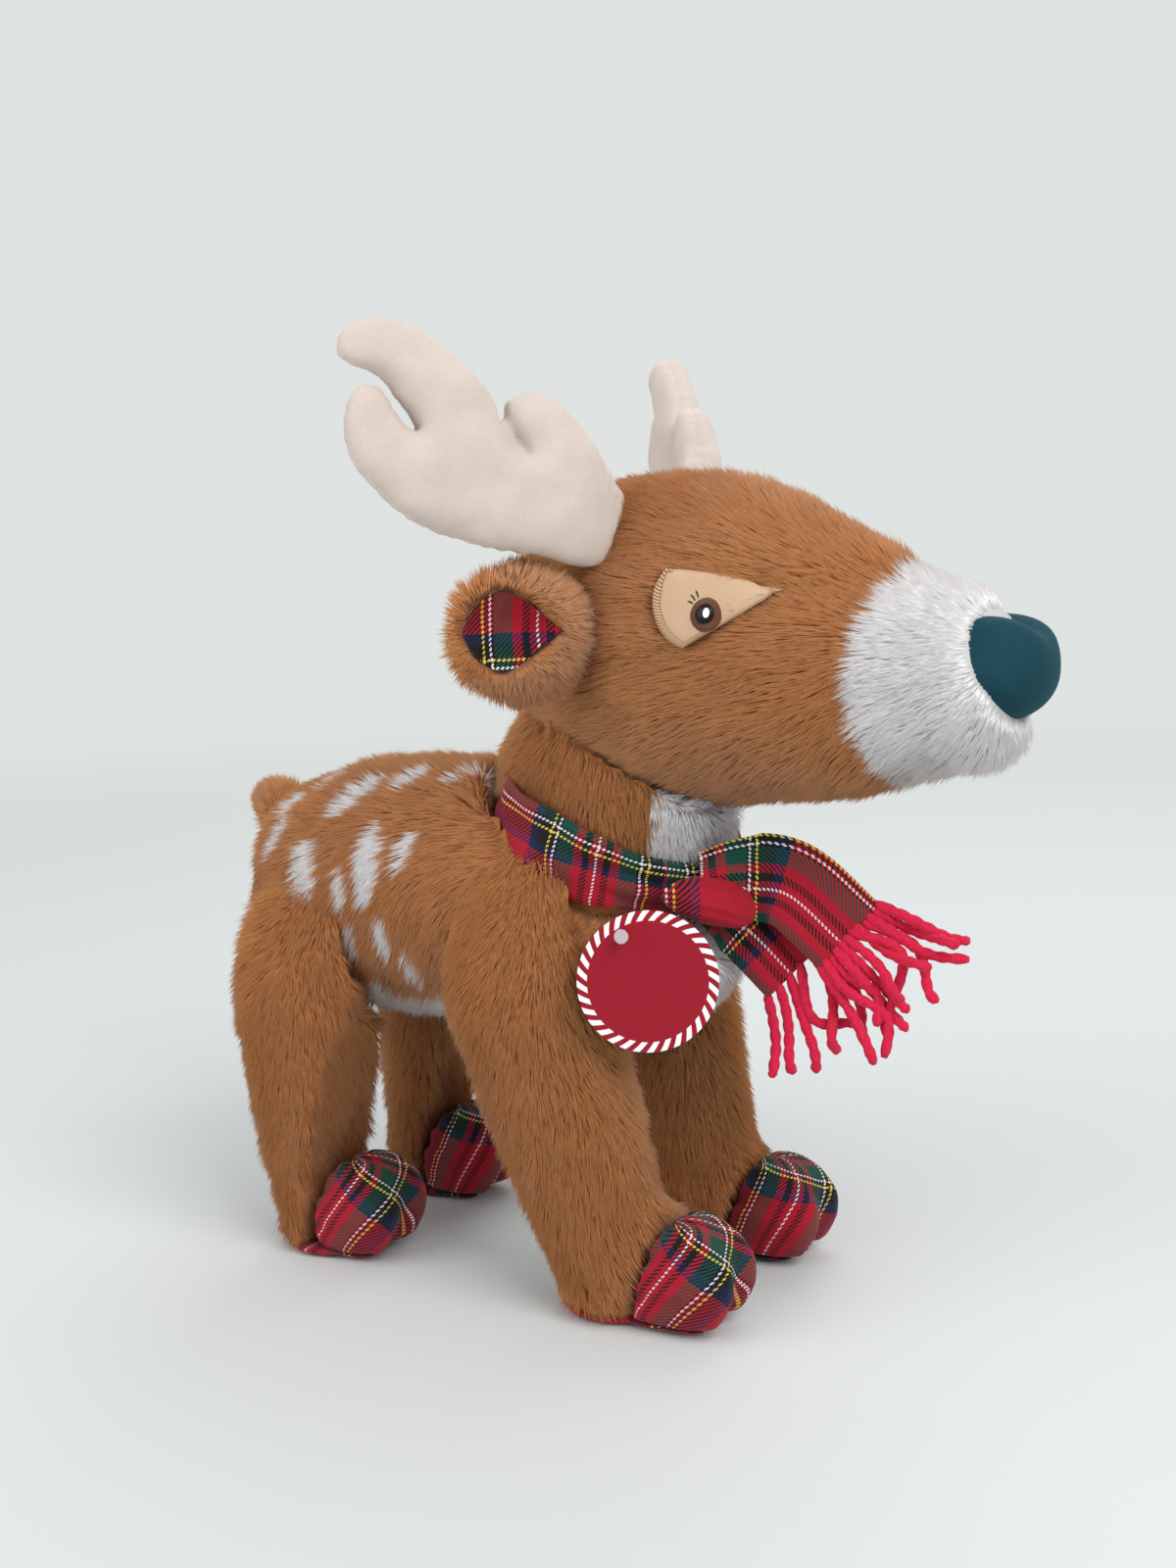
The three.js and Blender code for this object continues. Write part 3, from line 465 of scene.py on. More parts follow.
# An uneven edge for a patch of white, from smooth noise
def ragged(p, scale=260, size=0.25):
    return np.array([noise.noise(Vector(q) * scale) for q in p]) * size


# Every point as it lies on the right side, where x is below zero
def on_right(p):
    return np.column_stack((-np.abs(p[:, 0]), p[:, 1:]))


torso, torso_solid = cut_skin("torso_plush", ["torso_cover", "belly_panel", "chest_panel", "torso_stuffing"],
                              0.005, plush_slack)
puff(torso, 0.004)
refine(torso)
settle(torso, torso_solid, plush_slack, 25)
torso_surface = surface_of(torso)
spot_places = []
for along, angle, half_long, half_wide, slant in torso_spots:
    out = Vector((-math.cos(math.radians(angle)), 0, math.sin(math.radians(angle))))
    start = Vector((0, along, torso_middle.z)) + out * 0.2
    hit, normal, _, _ = torso_surface.ray_cast(start, -out)
    down = (Vector((0, 0, -1)) + normal * normal.z).normalized()
    back = (Vector((0, 1, 0)) - normal * normal.y).normalized()
    lean = math.radians(slant)
    long_way = down * math.cos(lean) + back * math.sin(lean)
    wide_way = back * math.cos(lean) - down * math.sin(lean)
    spot_places.append((np.array(hit), np.array(long_way) / half_long, np.array(wide_way) / half_wide))


def torso_white(p):
    right = on_right(p)
    edge = ragged(right)
    found = np.zeros(len(p), bool)
    for middle, long_way, wide_way in spot_places:
        gone = right - middle
        near = np.linalg.norm(gone, axis=1) < 0.022
        found |= near & ((gone @ long_way) ** 2 + (gone @ wide_way) ** 2 + edge < 1)
    belly = in_egg(p, (0, torso_middle.y + 0.004, 0.093), (0.05, 0.104, 0.029)) + edge < 1
    chest = in_egg(p, (0, -0.06, 0.135), (0.038, 0.038, 0.046)) + edge < 1
    return (found | belly | chest).astype(float)


def torso_comb(p):
    down = np.clip((p[:, 2] - 0.2) / -0.05, 0.15, 1)
    back = np.where(p[:, 1] < -0.03, 0.1, 1 - 0.55 * down)
    return np.column_stack((np.zeros(len(p)), back, -down))


# How far round the neck a point lies, as a share of the scarf's own loop, and how high over its middle
def round_neck(p):
    gone = p - neck_start
    ahead = gone @ neck_front
    depth = np.where(ahead > 0, neck_half[1], neck_half[1] - 0.008)
    return np.hypot(gone[:, 0] / neck_half[0], ahead / depth), (p - band_middle) @ band_up


# The scarf draws the shoulders in to the neck, and the back a little
def drawn_in(p):
    share, high = round_neck(p)
    level = np.clip((high + 0.026) / 0.01, 0, 1) * (p[:, 1] < 0.09)
    front = np.clip((0.025 - p[:, 1]) / 0.02, 0, 1)
    hard = np.clip((1.6 - share) / 0.3, 0, 1) * (1 - 0.88 / np.maximum(share, 0.88))
    mild = np.clip((1.3 - share) / 0.3, 0, 1) * 0.12 / np.maximum(share, 0.5)
    factor = 1 - level * (hard * front + mild * (1 - front))
    axis = neck_start + np.outer((p - neck_start) @ neck_up, neck_up)
    return axis + (p - axis) * factor[:, None]


reshape(torso, drawn_in)


# Outside the scarf, whose band is narrower near the knot
def off_band(p):
    share, high = round_neck(p)
    knot_near = np.exp(-((np.linalg.norm(p - (-0.03, -0.05, 0.152), axis=1) / 0.026) ** 2))
    return (share > 1.07) | (high < -0.018 + 0.011 * knot_near)


backing(torso, torso_white)
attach(torso, "body")


def show_pile(pile, body):
    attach(pile, body)


torso_pile = grow_pile("torso_pile_right", torso, torso_strands, 3, torso_comb,
                       lambda p: (p[:, 0] < 0) & off_band(p), torso_white)
show_pile(torso_pile, "body")
show_pile(mirrored(torso_pile), "body")


# Neck: a short plush tube over the same stuffing, sewn into the shoulders and under the head, with a
# white throat panel let into its front. Its pile is pressed flat where the scarf goes round.
neck_strands = 20000
neck, neck_solid = cut_skin("neck_plush", ["neck_cover", "throat_panel", "neck_stuffing"], 0.004, plush_slack)
puff(neck, 0.003)
refine(neck)
settle(neck, neck_solid, plush_slack, 20)


# The top of the neck runs on up into the head, and at the back leans in under it
def into_head(p):
    share = np.clip((p[:, 2] - 0.2) / 0.02, 0, 1) ** 2
    rear = np.clip((p[:, 1] + 0.02) / 0.03, 0, 1)
    raised = 0.01 * share * (1 - 0.5 * rear)
    return p + np.column_stack((-0.06 * share * p[:, 0], -0.009 * share * rear, raised))


reshape(neck, into_head)


def throat_white(p):
    return (in_egg(p, (0, -0.0485, 0.158), (0.03, 0.033, 0.075)) + ragged(p) < 1).astype(float)


def over_band(p):
    return (p - band_middle) @ band_up > 0.012


def neck_comb(p):
    return np.column_stack((p[:, 0] * 4, (p[:, 1] + 0.01) * 4, np.full(len(p), -1)))


backing(neck, throat_white)
neck_pile = grow_pile("neck_pile", neck, neck_strands, 11, neck_comb, over_band, throat_white)
for piece in (neck, neck_pile):
    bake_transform(piece)


# Head: one stuffed plush cover for skull and snout. The white muzzle is a panel of its own, with a
# seam that bulges back over the cheeks. The pile is left out under the velour patches of the eyes.
muzzle_middle = np.array((-0.1675, 0.2337))  # along the deer and up
muzzle_half = np.array((0.0505, 0.056))
eye_middle = np.array((-0.048, -0.0685, 0.257))
head_strands = 46000  # on each side
head, head_solid = cut_skin("head_plush", ["head_cover", "muzzle", "head_stuffing"], 0.005, plush_slack)
puff(head, 0.004)
refine(head)
settle(head, head_solid, plush_slack, 25)


def eased(share):
    return share * share * (3 - 2 * share)


# The snout is stuffed fuller than its cut, the cheeks swell below the eyes, and a crease runs under
# the brow
def fuller_snout(p):
    front = eased(np.clip((-0.12 - p[:, 1]) / 0.035, 0, 1))
    gone = p - np.array((0, 0, 0.228))
    swell = 0.13 * front
    low = np.clip((0.236 - p[:, 2]) / 0.03, 0, 1) * front
    cheek = np.exp(-(((p[:, 1] + 0.098) / 0.028) ** 2) - ((p[:, 2] - 0.226) / 0.024) ** 2) * 0.004
    side = np.sign(p[:, 0]) * np.clip(np.abs(p[:, 0]) / 0.02, 0, 1)
    brow = np.exp(-(((p[:, 1] + 0.085) / 0.022) ** 2) - ((p[:, 2] - 0.282) / 0.012) ** 2) * 0.0025
    share = np.clip((-0.088 - p[:, 1]) / 0.036, 0, 1)
    off = np.hypot(np.maximum(np.abs(p[:, 1] + 0.106) - 0.018, 0), p[:, 2] - 0.264 - 0.003 * share)
    crease = 0.003 * np.exp(-((off / 0.005) ** 2))
    jaw = np.clip((0.238 - p[:, 2]) / 0.025, 0, 1) * np.clip((0.03 - p[:, 1]) / 0.03, 0, 1)
    jaw *= np.clip((p[:, 1] + 0.14) / 0.03, 0, 1) * 0.0045
    return p + np.column_stack((gone[:, 0] * swell + side * (cheek + brow - crease), -0.003 * low,
                                gone[:, 2] * swell * 0.6 - jaw))


reshape(head, fuller_snout)


# A curve from one point to another that bends towards a third
def bent(start, bend, end, share):
    return start * (1 - share) ** 2 + bend * 2 * share * (1 - share) + end * share**2


def inside_line(line, at):
    inside = np.zeros(len(at), bool)
    for a, b in zip(line, np.roll(line, -1, axis=0)):
        cuts = (a[1] > at[:, 1]) != (b[1] > at[:, 1])
        inside ^= cuts & (at[:, 0] < a[0] + (at[:, 1] - a[1]) * (b[0] - a[0]) / (b[1] - a[1] + 1e-12))
    return inside


# The outline of an eye patch, seen from the side: forward and up from the middle of the eye
leaf_corners = [np.array(corner) for corner in (
    (-0.0165, 0.015), (0.004, 0.0145), (0.0225, 0.007), (0.008, -0.0025),
    (-0.008, -0.0105), (-0.017, -0.007), (-0.019, 0.003), (-0.0198, 0.010), (-0.0165, 0.015),
)]
leaf = np.array([bent(*leaf_corners[k:k + 3], t) for k in (0, 2, 4, 6) for t in np.arange(16) / 16])


def in_leaf(p, scale):
    at = np.column_stack((-(p[:, 1] - eye_middle[1]), p[:, 2] - eye_middle[2])) / scale
    return inside_line(leaf, at) & (np.abs(p[:, 0]) > 0.02)


def head_white(p):
    gone = (p[:, 1:] - muzzle_middle) / muzzle_half
    return ((gone**2).sum(axis=1) + ragged(p, 400, 0.05) < 1).astype(float)


# The nap runs back from the snout, and turns outwards round the roots of the antlers
def head_comb(p):
    gone = p - np.array((0, -0.13, 0.24))
    down = np.clip((p[:, 2] - 0.26) / -0.05, 0, 1)
    flow = np.column_stack((gone[:, 0] * 3, 0.05 + gone[:, 1] * 1.5 + 0.1, gone[:, 2] * 1.5 - down * 0.08))
    near = np.exp(-((np.linalg.norm(on_right(p) - (-0.034, -0.034, 0.284), axis=1) / 0.014) ** 2))[:, None]
    outwards = np.column_stack((np.sign(p[:, 0]) * 0.2, np.full(len(p), 0.16), np.full(len(p), 0.05)))
    return flow * (1 - near) + near * outwards


def at_nose(p):
    return in_egg(p, (0, -0.1525, 0.2385), (0.0225, 0.03, 0.0188)) < 1


backing(head, head_white)
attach(head, "head")
head_pile = grow_pile("head_pile_right", head, head_strands, 5, head_comb,
                      lambda p: (p[:, 0] < 0) & ~in_leaf(p, 0.95) & ~at_nose(p), head_white, lean=60)
show_pile(head_pile, "head")
show_pile(mirrored(head_pile), "head")


# Nose: a padded patch of short dark teal velour, sewn onto the tip of the snout, with two nostril
# bulges and a notch between them.
bpy.ops.object.select_all(action="DESELECT")
bpy.ops.mesh.primitive_uv_sphere_add(segments=64, ring_count=40, radius=1)
nose = bpy.context.object
nose.name = "nose_pad"
nose_middle = (0, -0.1535, 0.2375)
nose_half = (0.0225, 0.0215, 0.0182)


def nose_form(p):
    right = np.abs(p[:, 0])
    lobes = 0.10 * np.exp(-(((right - 0.55) / 0.32) ** 2) - ((p[:, 2] - 0.72) / 0.4) ** 2)
    notch = 0.16 * np.exp(-((p[:, 0] / 0.2) ** 2) - ((p[:, 2] - 1) / 0.35) ** 2)
    chin = 1 - 0.22 * np.clip(-p[:, 2], 0, 1) ** 2
    squared = np.sign(p) * np.abs(p) ** 0.92
    shaped = squared * (1 + lobes - notch)[:, None]
    shaped[:, 0] *= chin
    return shaped * nose_half + nose_middle


reshape(nose, nose_form)
bpy.ops.object.shade_smooth()
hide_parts("nose")
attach(nose, "head")


def object_place(tree):
    return tree.nodes.new("ShaderNodeTexCoord").outputs["Object"]


def speckle(tree, scale, detail=2):
    inputs = {"Vector": object_place(tree), "Scale": scale, "Detail": detail}
    return add_node(tree, "TexNoise", inputs).outputs["Fac"]


def add_bump(tree, shader, height, strength, distance):
    bump = add_node(tree, "Bump", {"Height": height, "Strength": strength, "Distance": distance})
    tree.links.new(bump.outputs["Normal"], shader.inputs["Normal"])


# A fine nap for velour: speckles of light and dark and a soft bump, from object coordinates
def velour_look(name, dark, light, grain=2600):
    look, tree, shader = new_look(name, 0.85, 0.6, light)
    fine = speckle(tree, grain)
    both = maths(tree, "MULTIPLY_ADD", fine, 0.5, maths(tree, "MULTIPLY", speckle(tree, 60, 4), 0.5))
    tree.links.new(blended(tree, dark, light, both), shader.inputs["Base Color"])
    add_bump(tree, shader, fine, 0.25, 0.0006)
    return look


nose.data.materials.append(velour_look("nose_velour", paint(8, 38, 46), paint(22, 72, 84)))


# Eyes: a leaf of beige velour, edged with satin stitch behind and below, that carries a stitched brown
# ring, a black pupil and a white highlight. Three fine lashes are stitched above its rear corner.
head_surface = surface_of(head)
eye_lift = 0.0035  # how far the patch lies over the backing, among the pile round it
rim_width = 0.003


# The place on the right side of the head that is so far forward and up from the middle of the eye
def on_cheek(at):
    start = Vector((-0.2, eye_middle[1] - at[0], eye_middle[2] + at[1]))
    hit, normal, _, _ = head_surface.ray_cast(start, Vector((1, 0, 0)))
    return hit, normal


# A piece from points and faces. Its edges are smooth, except those sharper than an angle in degrees.
def new_piece(name, points, faces, merge=0, sharp=None):
    mesh = bpy.data.meshes.new(name)
    mesh.from_pydata([tuple(p) for p in points], [], faces)
    piece = link_piece(name, mesh)
    clean_mesh(piece, merge)
    if sharp:
        bpy.ops.object.shade_smooth_by_angle(angle=math.radians(sharp))
    else:
        bpy.ops.object.shade_smooth()
    return piece


# A flat outline laid on the side of the head: rings of points from the middle to the outline, each
# lifted off the backing, with a closed underside
def lay_on(name, outline, lift, thick, crown, rings=6, middle=(0, 0)):
    middle = np.array(middle)
    count = len(outline)
    top, under, faces = [], [], []
    for ring in range(rings + 1):
        share = ring / rings
        for point in outline:
            hit, normal = on_cheek(middle + (point - middle) * max(share, 0.001))
            round_off = math.sqrt(max(0, 1 - share**6))
            top.append(hit + normal * (lift + thick * round_off + crown * (1 - share**2)))
            under.append(hit + normal * (lift - thick * 0.3))
    base = len(top)
    for ring in range(rings):
        for k in range(count):
            a, b = ring * count + k, ring * count + (k + 1) % count
            faces.append((a, b, b + count, a + count))
            faces.append((base + a, base + a + count, base + b + count, base + b))
    for k in range(count):
        a, b = rings * count + k, rings * count + (k + 1) % count
        faces.append((a, b, base + b, base + a))
    return new_piece(name, top + under, faces, merge=0.00002)


def circle(radius, middle=(0, 0), stretch=1.0, count=40):
    turn = np.arange(count) / count * 2 * math.pi
    return np.column_stack((middle[0] + radius * np.cos(turn), middle[1] + radius * stretch * np.sin(turn)))


# Radial satin stitch: fine ridges that run across a band round the middle of the eye. Its colour follows the
# ridges, painted darker in the grooves and lighter on the crests: painted shade and painted highlight.
def stitched_look(name, low, high, threads):
    look, tree, shader = new_look(name, 0.45, 0.2)
    gone = add_node(tree, "VectorMath", {0: object_place(tree), 1: tuple(eye_middle)}, "SUBTRACT")
    apart = add_node(tree, "SeparateXYZ", {0: gone.outputs["Vector"]})
    angle = maths(tree, "ARCTAN2", apart.outputs["Z"], apart.outputs["Y"])
    wave = maths(tree, "SINE", maths(tree, "MULTIPLY", angle, threads))
    ridge = add_node(tree, "MapRange", {"Value": wave, "From Min": -1}).outputs["Result"]
    tree.links.new(blended(tree, low, high, ridge), shader.inputs["Base Color"])
    add_bump(tree, shader, ridge, 0.6, 0.0004)
    return look


def thread_look(name, roughness, colour):
    look, tree, shader = new_look(name, roughness, 0)
    set_inputs(tree, shader, {"Base Color": colour})
    return look


patch_velour = velour_look("beige_velour", paint(172, 140, 112), paint(210, 178, 148))
# The first colour of each stitched thread is painted shade for its grooves, the second a painted highlight
# for its crests
rim_thread = stitched_look("gold_beige_thread", paint(128, 92, 60), paint(206, 172, 132), 110)
iris_thread = stitched_look("brown_thread", paint(66, 36, 20), paint(122, 72, 40), 70)
pupil_thread = thread_look("black_thread", 0.3, paint(14, 12, 14))
glint_thread = thread_look("white_thread", 0.4, paint(248, 248, 248))
glint_middle = (0.0008, 0.0002)
patch = lay_on("eye_leaf_right", leaf, eye_lift, 0.0012, 0.0006, 12, (0.002, 0.002))
iris = lay_on("eye_ring_right", circle(0.0058), eye_lift + 0.0014, 0.0009, 0.0004)
pupil = lay_on("pupil_right", circle(0.0034), eye_lift + 0.0024, 0.0008, 0.0005)
glint = lay_on("eye_light_right", circle(0.0012, glint_middle, 1.4, 24), eye_lift + 0.0036, 0.0004, 0, 4,
               glint_middle)
patch.data.materials.append(patch_velour)
iris.data.materials.append(iris_thread)
pupil.data.materials.append(pupil_thread)
glint.data.materials.append(glint_thread)


# A raised band of stitches or a single thread: a half-round tube along a line on the side of the head
def stitch_line(name, line, half_width, height, lift):
    points, faces = [], []
    rows = len(line)
    for k, point in enumerate(line):
        ahead = line[min(k + 1, rows - 1)] - line[max(k - 1, 0)]
        ahead /= np.linalg.norm(ahead)
        across = np.array((-ahead[1], ahead[0]))
        taper = min(1, 0.25 + 3 * min(k, rows - 1 - k) / rows)
        for share in (-1, -0.7, 0, 0.7, 1):
            hit, normal = on_cheek(point + across * share * half_width * taper)
            points.append(hit + normal * (lift + height * math.sqrt(max(0, 1 - share**2)) * taper))
    for k in range(rows - 1):
        for j in range(5):
            n = (j + 1) % 5
            faces.append((k * 5 + j, k * 5 + n, k * 5 + 5 + n, k * 5 + 5 + j))
    faces.append((0, 1, 2, 3, 4))
    faces.append(tuple(rows * 5 - 5 + j for j in (4, 3, 2, 1, 0)))
    return new_piece(name, points, faces)


rim_heart = (-0.004, 0.003)
rim_line = np.array(rim_heart) + (np.concatenate((leaf[26:], leaf[:2])) - rim_heart) * 0.93
rim = stitch_line("eye_rim_right", rim_line, rim_width / 2, 0.001, eye_lift + 0.001)
rim.data.materials.append(rim_thread)
lashes = []
for number, corners in enumerate((
    ((-0.0044, 0.0034), (-0.0056, 0.0042), (-0.0068, 0.0044)),
    ((-0.0038, 0.0042), (-0.0046, 0.0056), (-0.0060, 0.0066)),
    ((-0.0028, 0.0050), (-0.0032, 0.0064), (-0.0042, 0.0078)),
)):
    start, bend, end = (np.array(corner) for corner in corners)
    line = [bent(start, bend, end, t) for t in np.arange(8) / 7]
    lash = stitch_line(f"lash_right_{number + 1}", line, 0.0003, 0.0004, eye_lift + 0.0016)
    lash.data.materials.append(pupil_thread)
    lashes.append(lash)
for side, pieces in both_sides(patch, rim, iris, pupil, glint, *lashes):
    for number, piece in enumerate(pieces):
        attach(piece, "head")
    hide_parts(f"eye_patch_{side}")
    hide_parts(f"eye_{side}")


# Ears: a flat plush leaf sewn to the side of the head, with a tartan lining let into its front. Long
# pile stands round the rim and reaches over the edge of the lining.
ear_root = np.array((-0.042, -0.0225, 0.252))
ear_way = np.array((-0.682, 0.731, 0))
ear_face = np.array((-0.731, -0.682, 0))
ear_strands = 12000
lining_start = 0.012  # from the root of the ear to the lining's near end
lining_length = 0.0345
lining_depth = 0.0275
thread_width = 0.00044


# Tartan: two sets of dyed threads in the same order, woven 2/2 twill. It reads a UV map in metres.
def tartan_group():
    group = bpy.data.node_groups.new("tartan", "ShaderNodeTree")
    group.interface.new_socket("Vector", in_out="INPUT", socket_type="NodeSocketVector")
    group.interface.new_socket("Color", in_out="OUTPUT", socket_type="NodeSocketColor")
    group.interface.new_socket("Height", in_out="OUTPUT", socket_type="NodeSocketFloat")
    start = group.nodes.new("NodeGroupInput")
    end = group.nodes.new("NodeGroupOutput")
    red, blue, black = paint(162, 18, 38), paint(22, 29, 70), paint(15, 15, 20)
    yellow, pale, green = paint(214, 190, 64), paint(222, 212, 214), paint(12, 66, 54)
    order = (  # colours and how many threads each has; the order turns round at both ends
        (red, 36), (blue, 8), (black, 12), (yellow, 2), (black, 4), (pale, 2), (black, 2), (green, 15),
        (red, 8), (black, 6), (red, 5), (pale, 1),
    )
    total = sum(threads for _, threads in order)
    apart = add_node(group, "SeparateXYZ", {0: start.outputs["Vector"]})
    colours, counts, ridges = [], [], []
    for axis in ("X", "Y"):
        count = maths(group, "DIVIDE", apart.outputs[axis], thread_width)
        thread = maths(group, "FLOOR", count)
        folded = maths(group, "PINGPONG", maths(group, "ADD", thread, 0.5), total)
        ramp = add_node(group, "ValToRGB", {"Fac": maths(group, "DIVIDE", folded, total)})
        ramp.color_ramp.interpolation = "CONSTANT"
        stops = ramp.color_ramp.elements
        stops.remove(stops[1])
        done = 0
        for colour, threads in order:
            stop = stops[0] if done == 0 else stops.new(done / total)
            stop.color = colour
            done += threads
        colours.append(ramp.outputs["Color"])
        counts.append(thread)
        wave = maths(group, "SINE", maths(group, "MULTIPLY", count, math.pi))
        ridges.append(maths(group, "ABSOLUTE", wave))
    step = maths(group, "FLOORED_MODULO", maths(group, "ADD", counts[0], counts[1]), 4)
    over = maths(group, "LESS_THAN", step, 2)
    group.links.new(blended(group, colours[0], colours[1], over), end.inputs["Color"])
    top = add_node(group, "Mix", {0: over, 2: ridges[0], 3: ridges[1]})
    group.links.new(top.outputs[0], end.inputs["Height"])
    return group


tartan_look, tartan_tree, tartan_shader = new_look("tartan", 0.8, 0.06)
cloth_map = tartan_tree.nodes.new("ShaderNodeUVMap")
cloth_map.uv_map = "cloth"
weave = tartan_tree.nodes.new("ShaderNodeGroup")
weave.node_tree = tartan_group()
set_inputs(tartan_tree, weave, {"Vector": cloth_map.outputs["UV"]})
tartan_tree.links.new(weave.outputs["Color"], tartan_shader.inputs["Base Color"])
add_bump(tartan_tree, tartan_shader, weave.outputs["Height"], 0.4, 0.0003)


# Lays the cloth on a piece: a UV map in metres from the place of each corner
def lay_cloth(piece, place_to_cloth):
    mesh = piece.data
    corner = np.zeros(len(mesh.loops), int)
    mesh.loops.foreach_get("vertex_index", corner)
    spread = place_to_cloth(points_of(piece))[corner]
    mesh.uv_layers.new(name="cloth").data.foreach_set("uv", spread.astype(np.float32).ravel())
    mesh.materials.append(tartan_look)


# A place on the ear: how far out from its root, towards its front, and up
def ear_at(p):
    gone = p - ear_root
    return gone @ ear_way, gone @ ear_face, gone[:, 2]


# Half the depth of the lining, pointed towards the head and round at the tip of the ear
def teardrop(share):
    return math.sin(math.pi * share**1.35) ** 0.8 * lining_depth / 2


ear, _ = cut_skin("ear_plush_right", ["ear_right"], 0.0022, 0.0015, 8)


def in_lining(p, scale):
    along, _, rise = ear_at(p)
    front = np.array([ear_skin.find_nearest(Vector(q))[1].dot(Vector(ear_face)) > 0 for q in p])
    share = np.clip((along - lining_start) / lining_length, 0.001, 0.999)
    half = np.array([teardrop(s) for s in share]) * scale
    return front & (along > lining_start) & (along < lining_start + 0.05) & (np.abs(rise - 0.001) < half)


def ear_dish(p):
    along, face, rise = ear_at(p)
    share = ((along - 0.031) / 0.019) ** 2 + ((rise - 0.001) / 0.0155) ** 2
    sink = np.clip(1 - share, 0, 1) * 0.0065 * (face > -0.001)
    rim = np.exp(-((share - 1.4) ** 2) / 0.15) * 0.002 * (face > 0)
    return p + np.outer(rim - sink, ear_face)


reshape(ear, ear_dish)
refine(ear)
backing(ear)
ear_skin = surface_of(ear)


def ear_comb(p):
    along, _, rise = ear_at(p)
    return np.outer(along - 0.031, ear_way) + np.outer(rise - 0.001, (0, 0, 1.3))


ear_pile = grow_pile("ear_pile_right", ear, ear_strands, 21, ear_comb, lambda p: ~in_lining(p, 1.05),
                     lambda p: (ear_at(p)[1] > 0.002) * 0.12, lean=60, reach=0.008)
lining_points, lining_faces, lining_spread = [], [], []
lining_rows, lining_across = 24, 16
for back in (0, 1):
    for row in range(lining_rows + 1):
        share = 0.004 + 0.992 * row / lining_rows
        half = teardrop(share)
        for column in range(lining_across + 1):
            rise = (column / lining_across * 2 - 1) * half
            at = ear_root + ear_way * (lining_start + share * lining_length) + np.array((0, 0, rise + 0.001))
            hit = ear_skin.ray_cast(Vector(at + ear_face * 0.03), Vector(-ear_face))[0]
            fold = 0.0008 * math.sin(share * 19 + rise * 300)
            lining_points.append(np.array(hit) + ear_face * (0.0008 + 0.0006 * (1 - back) + fold))
            lining_spread.append((0.0521 - share * lining_length, 0.0151 - rise))
width = lining_across + 1
under = (lining_rows + 1) * width
for row in range(lining_rows):
    for column in range(lining_across):
        a = row * width + column
        lining_faces.append((a, a + 1, a + 1 + width, a + width))
        lining_faces.append((under + a, under + a + width, under + a + 1 + width, under + a + 1))
border = [*range(width), *(r * width + width - 1 for r in range(1, lining_rows + 1)),
          *(lining_rows * width + c for c in range(width - 2, -1, -1)),
          *(r * width for r in range(lining_rows - 1, 0, -1))]
for a, b in zip(border, border[1:] + border[:1]):
    lining_faces.append((b, a, under + a, under + b))
lining = new_piece("ear_tartan_right", lining_points, lining_faces, sharp=60)
lay_cloth(lining, lambda p: np.array(lining_spread))
for side, (skin, pile, cloth) in both_sides(ear, ear_pile, lining):
    for piece in (skin, pile, cloth):
        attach(piece, f"ear_{side}")
    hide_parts(f"ear_{side}")
    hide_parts(f"ear_lining_{side}")


# Antlers: two flat palms of beige velour, sewn round their outline and stuffed full, each with a brow
# tine and two fingers. The seam runs along the middle of the rim and puckers the velour.
antler_root = np.array((-0.038, -0.0265, 0.28676))
antler_way = np.array((-0.777, 0.629, 0))
antler_side = np.array((-0.629, -0.777, 0))
antler_outline = (  # along and up from the root, in millimetres; a repeated point is a corner
    (-12, 8), (-4, 20), (8, 36), (18, 45), (28, 48), (35, 44), (36.5, 39), (38, 39), (40, 46), (50, 57),
    (64, 68), (79, 72), (91, 68), (92, 59), (80, 52.5), (71, 43), (66, 34), (66, 34), (73, 39), (79, 50),
    (87, 49), (92, 37), (88, 23), (76, 9), (60, 0), (40, -6), (22, -9), (10, -13), (-2, -10),
)
antler_tuck = ((37.3, 39), (34, 33), (30, 27))  # a fold between the brow tine and the palm, held by stitches
antler_step = 1.25  # between the points at which the stuffed height is worked out, in millimetres
antler_full = 8.0  # how far from a seam the stuffing has rounded the velour out, in millimetres


# A smooth curve between the second and the third of four points
def between(points, share):
    a, b, c, d = points
    return 0.5 * (2 * b + (c - a) * share + (2 * a - 5 * b + 4 * c - d) * share**2
                  + (3 * b - a - 3 * c + d) * share**3)


# A closed line through the points of an outline, smooth except at its corners
def round_outline(points, steps):
    line = []
    for k in range(len(points)):
        a, b, c, d = (np.array(points[(k + j) % len(points)], float) for j in (-1, 0, 1, 2))
        if np.allclose(b, c):
            continue
        a, d = (b if np.allclose(a, b) else a), (c if np.allclose(c, d) else d)
        line += [between((a, b, c, d), t) for t in np.arange(steps) / steps]
    return np.array(line)


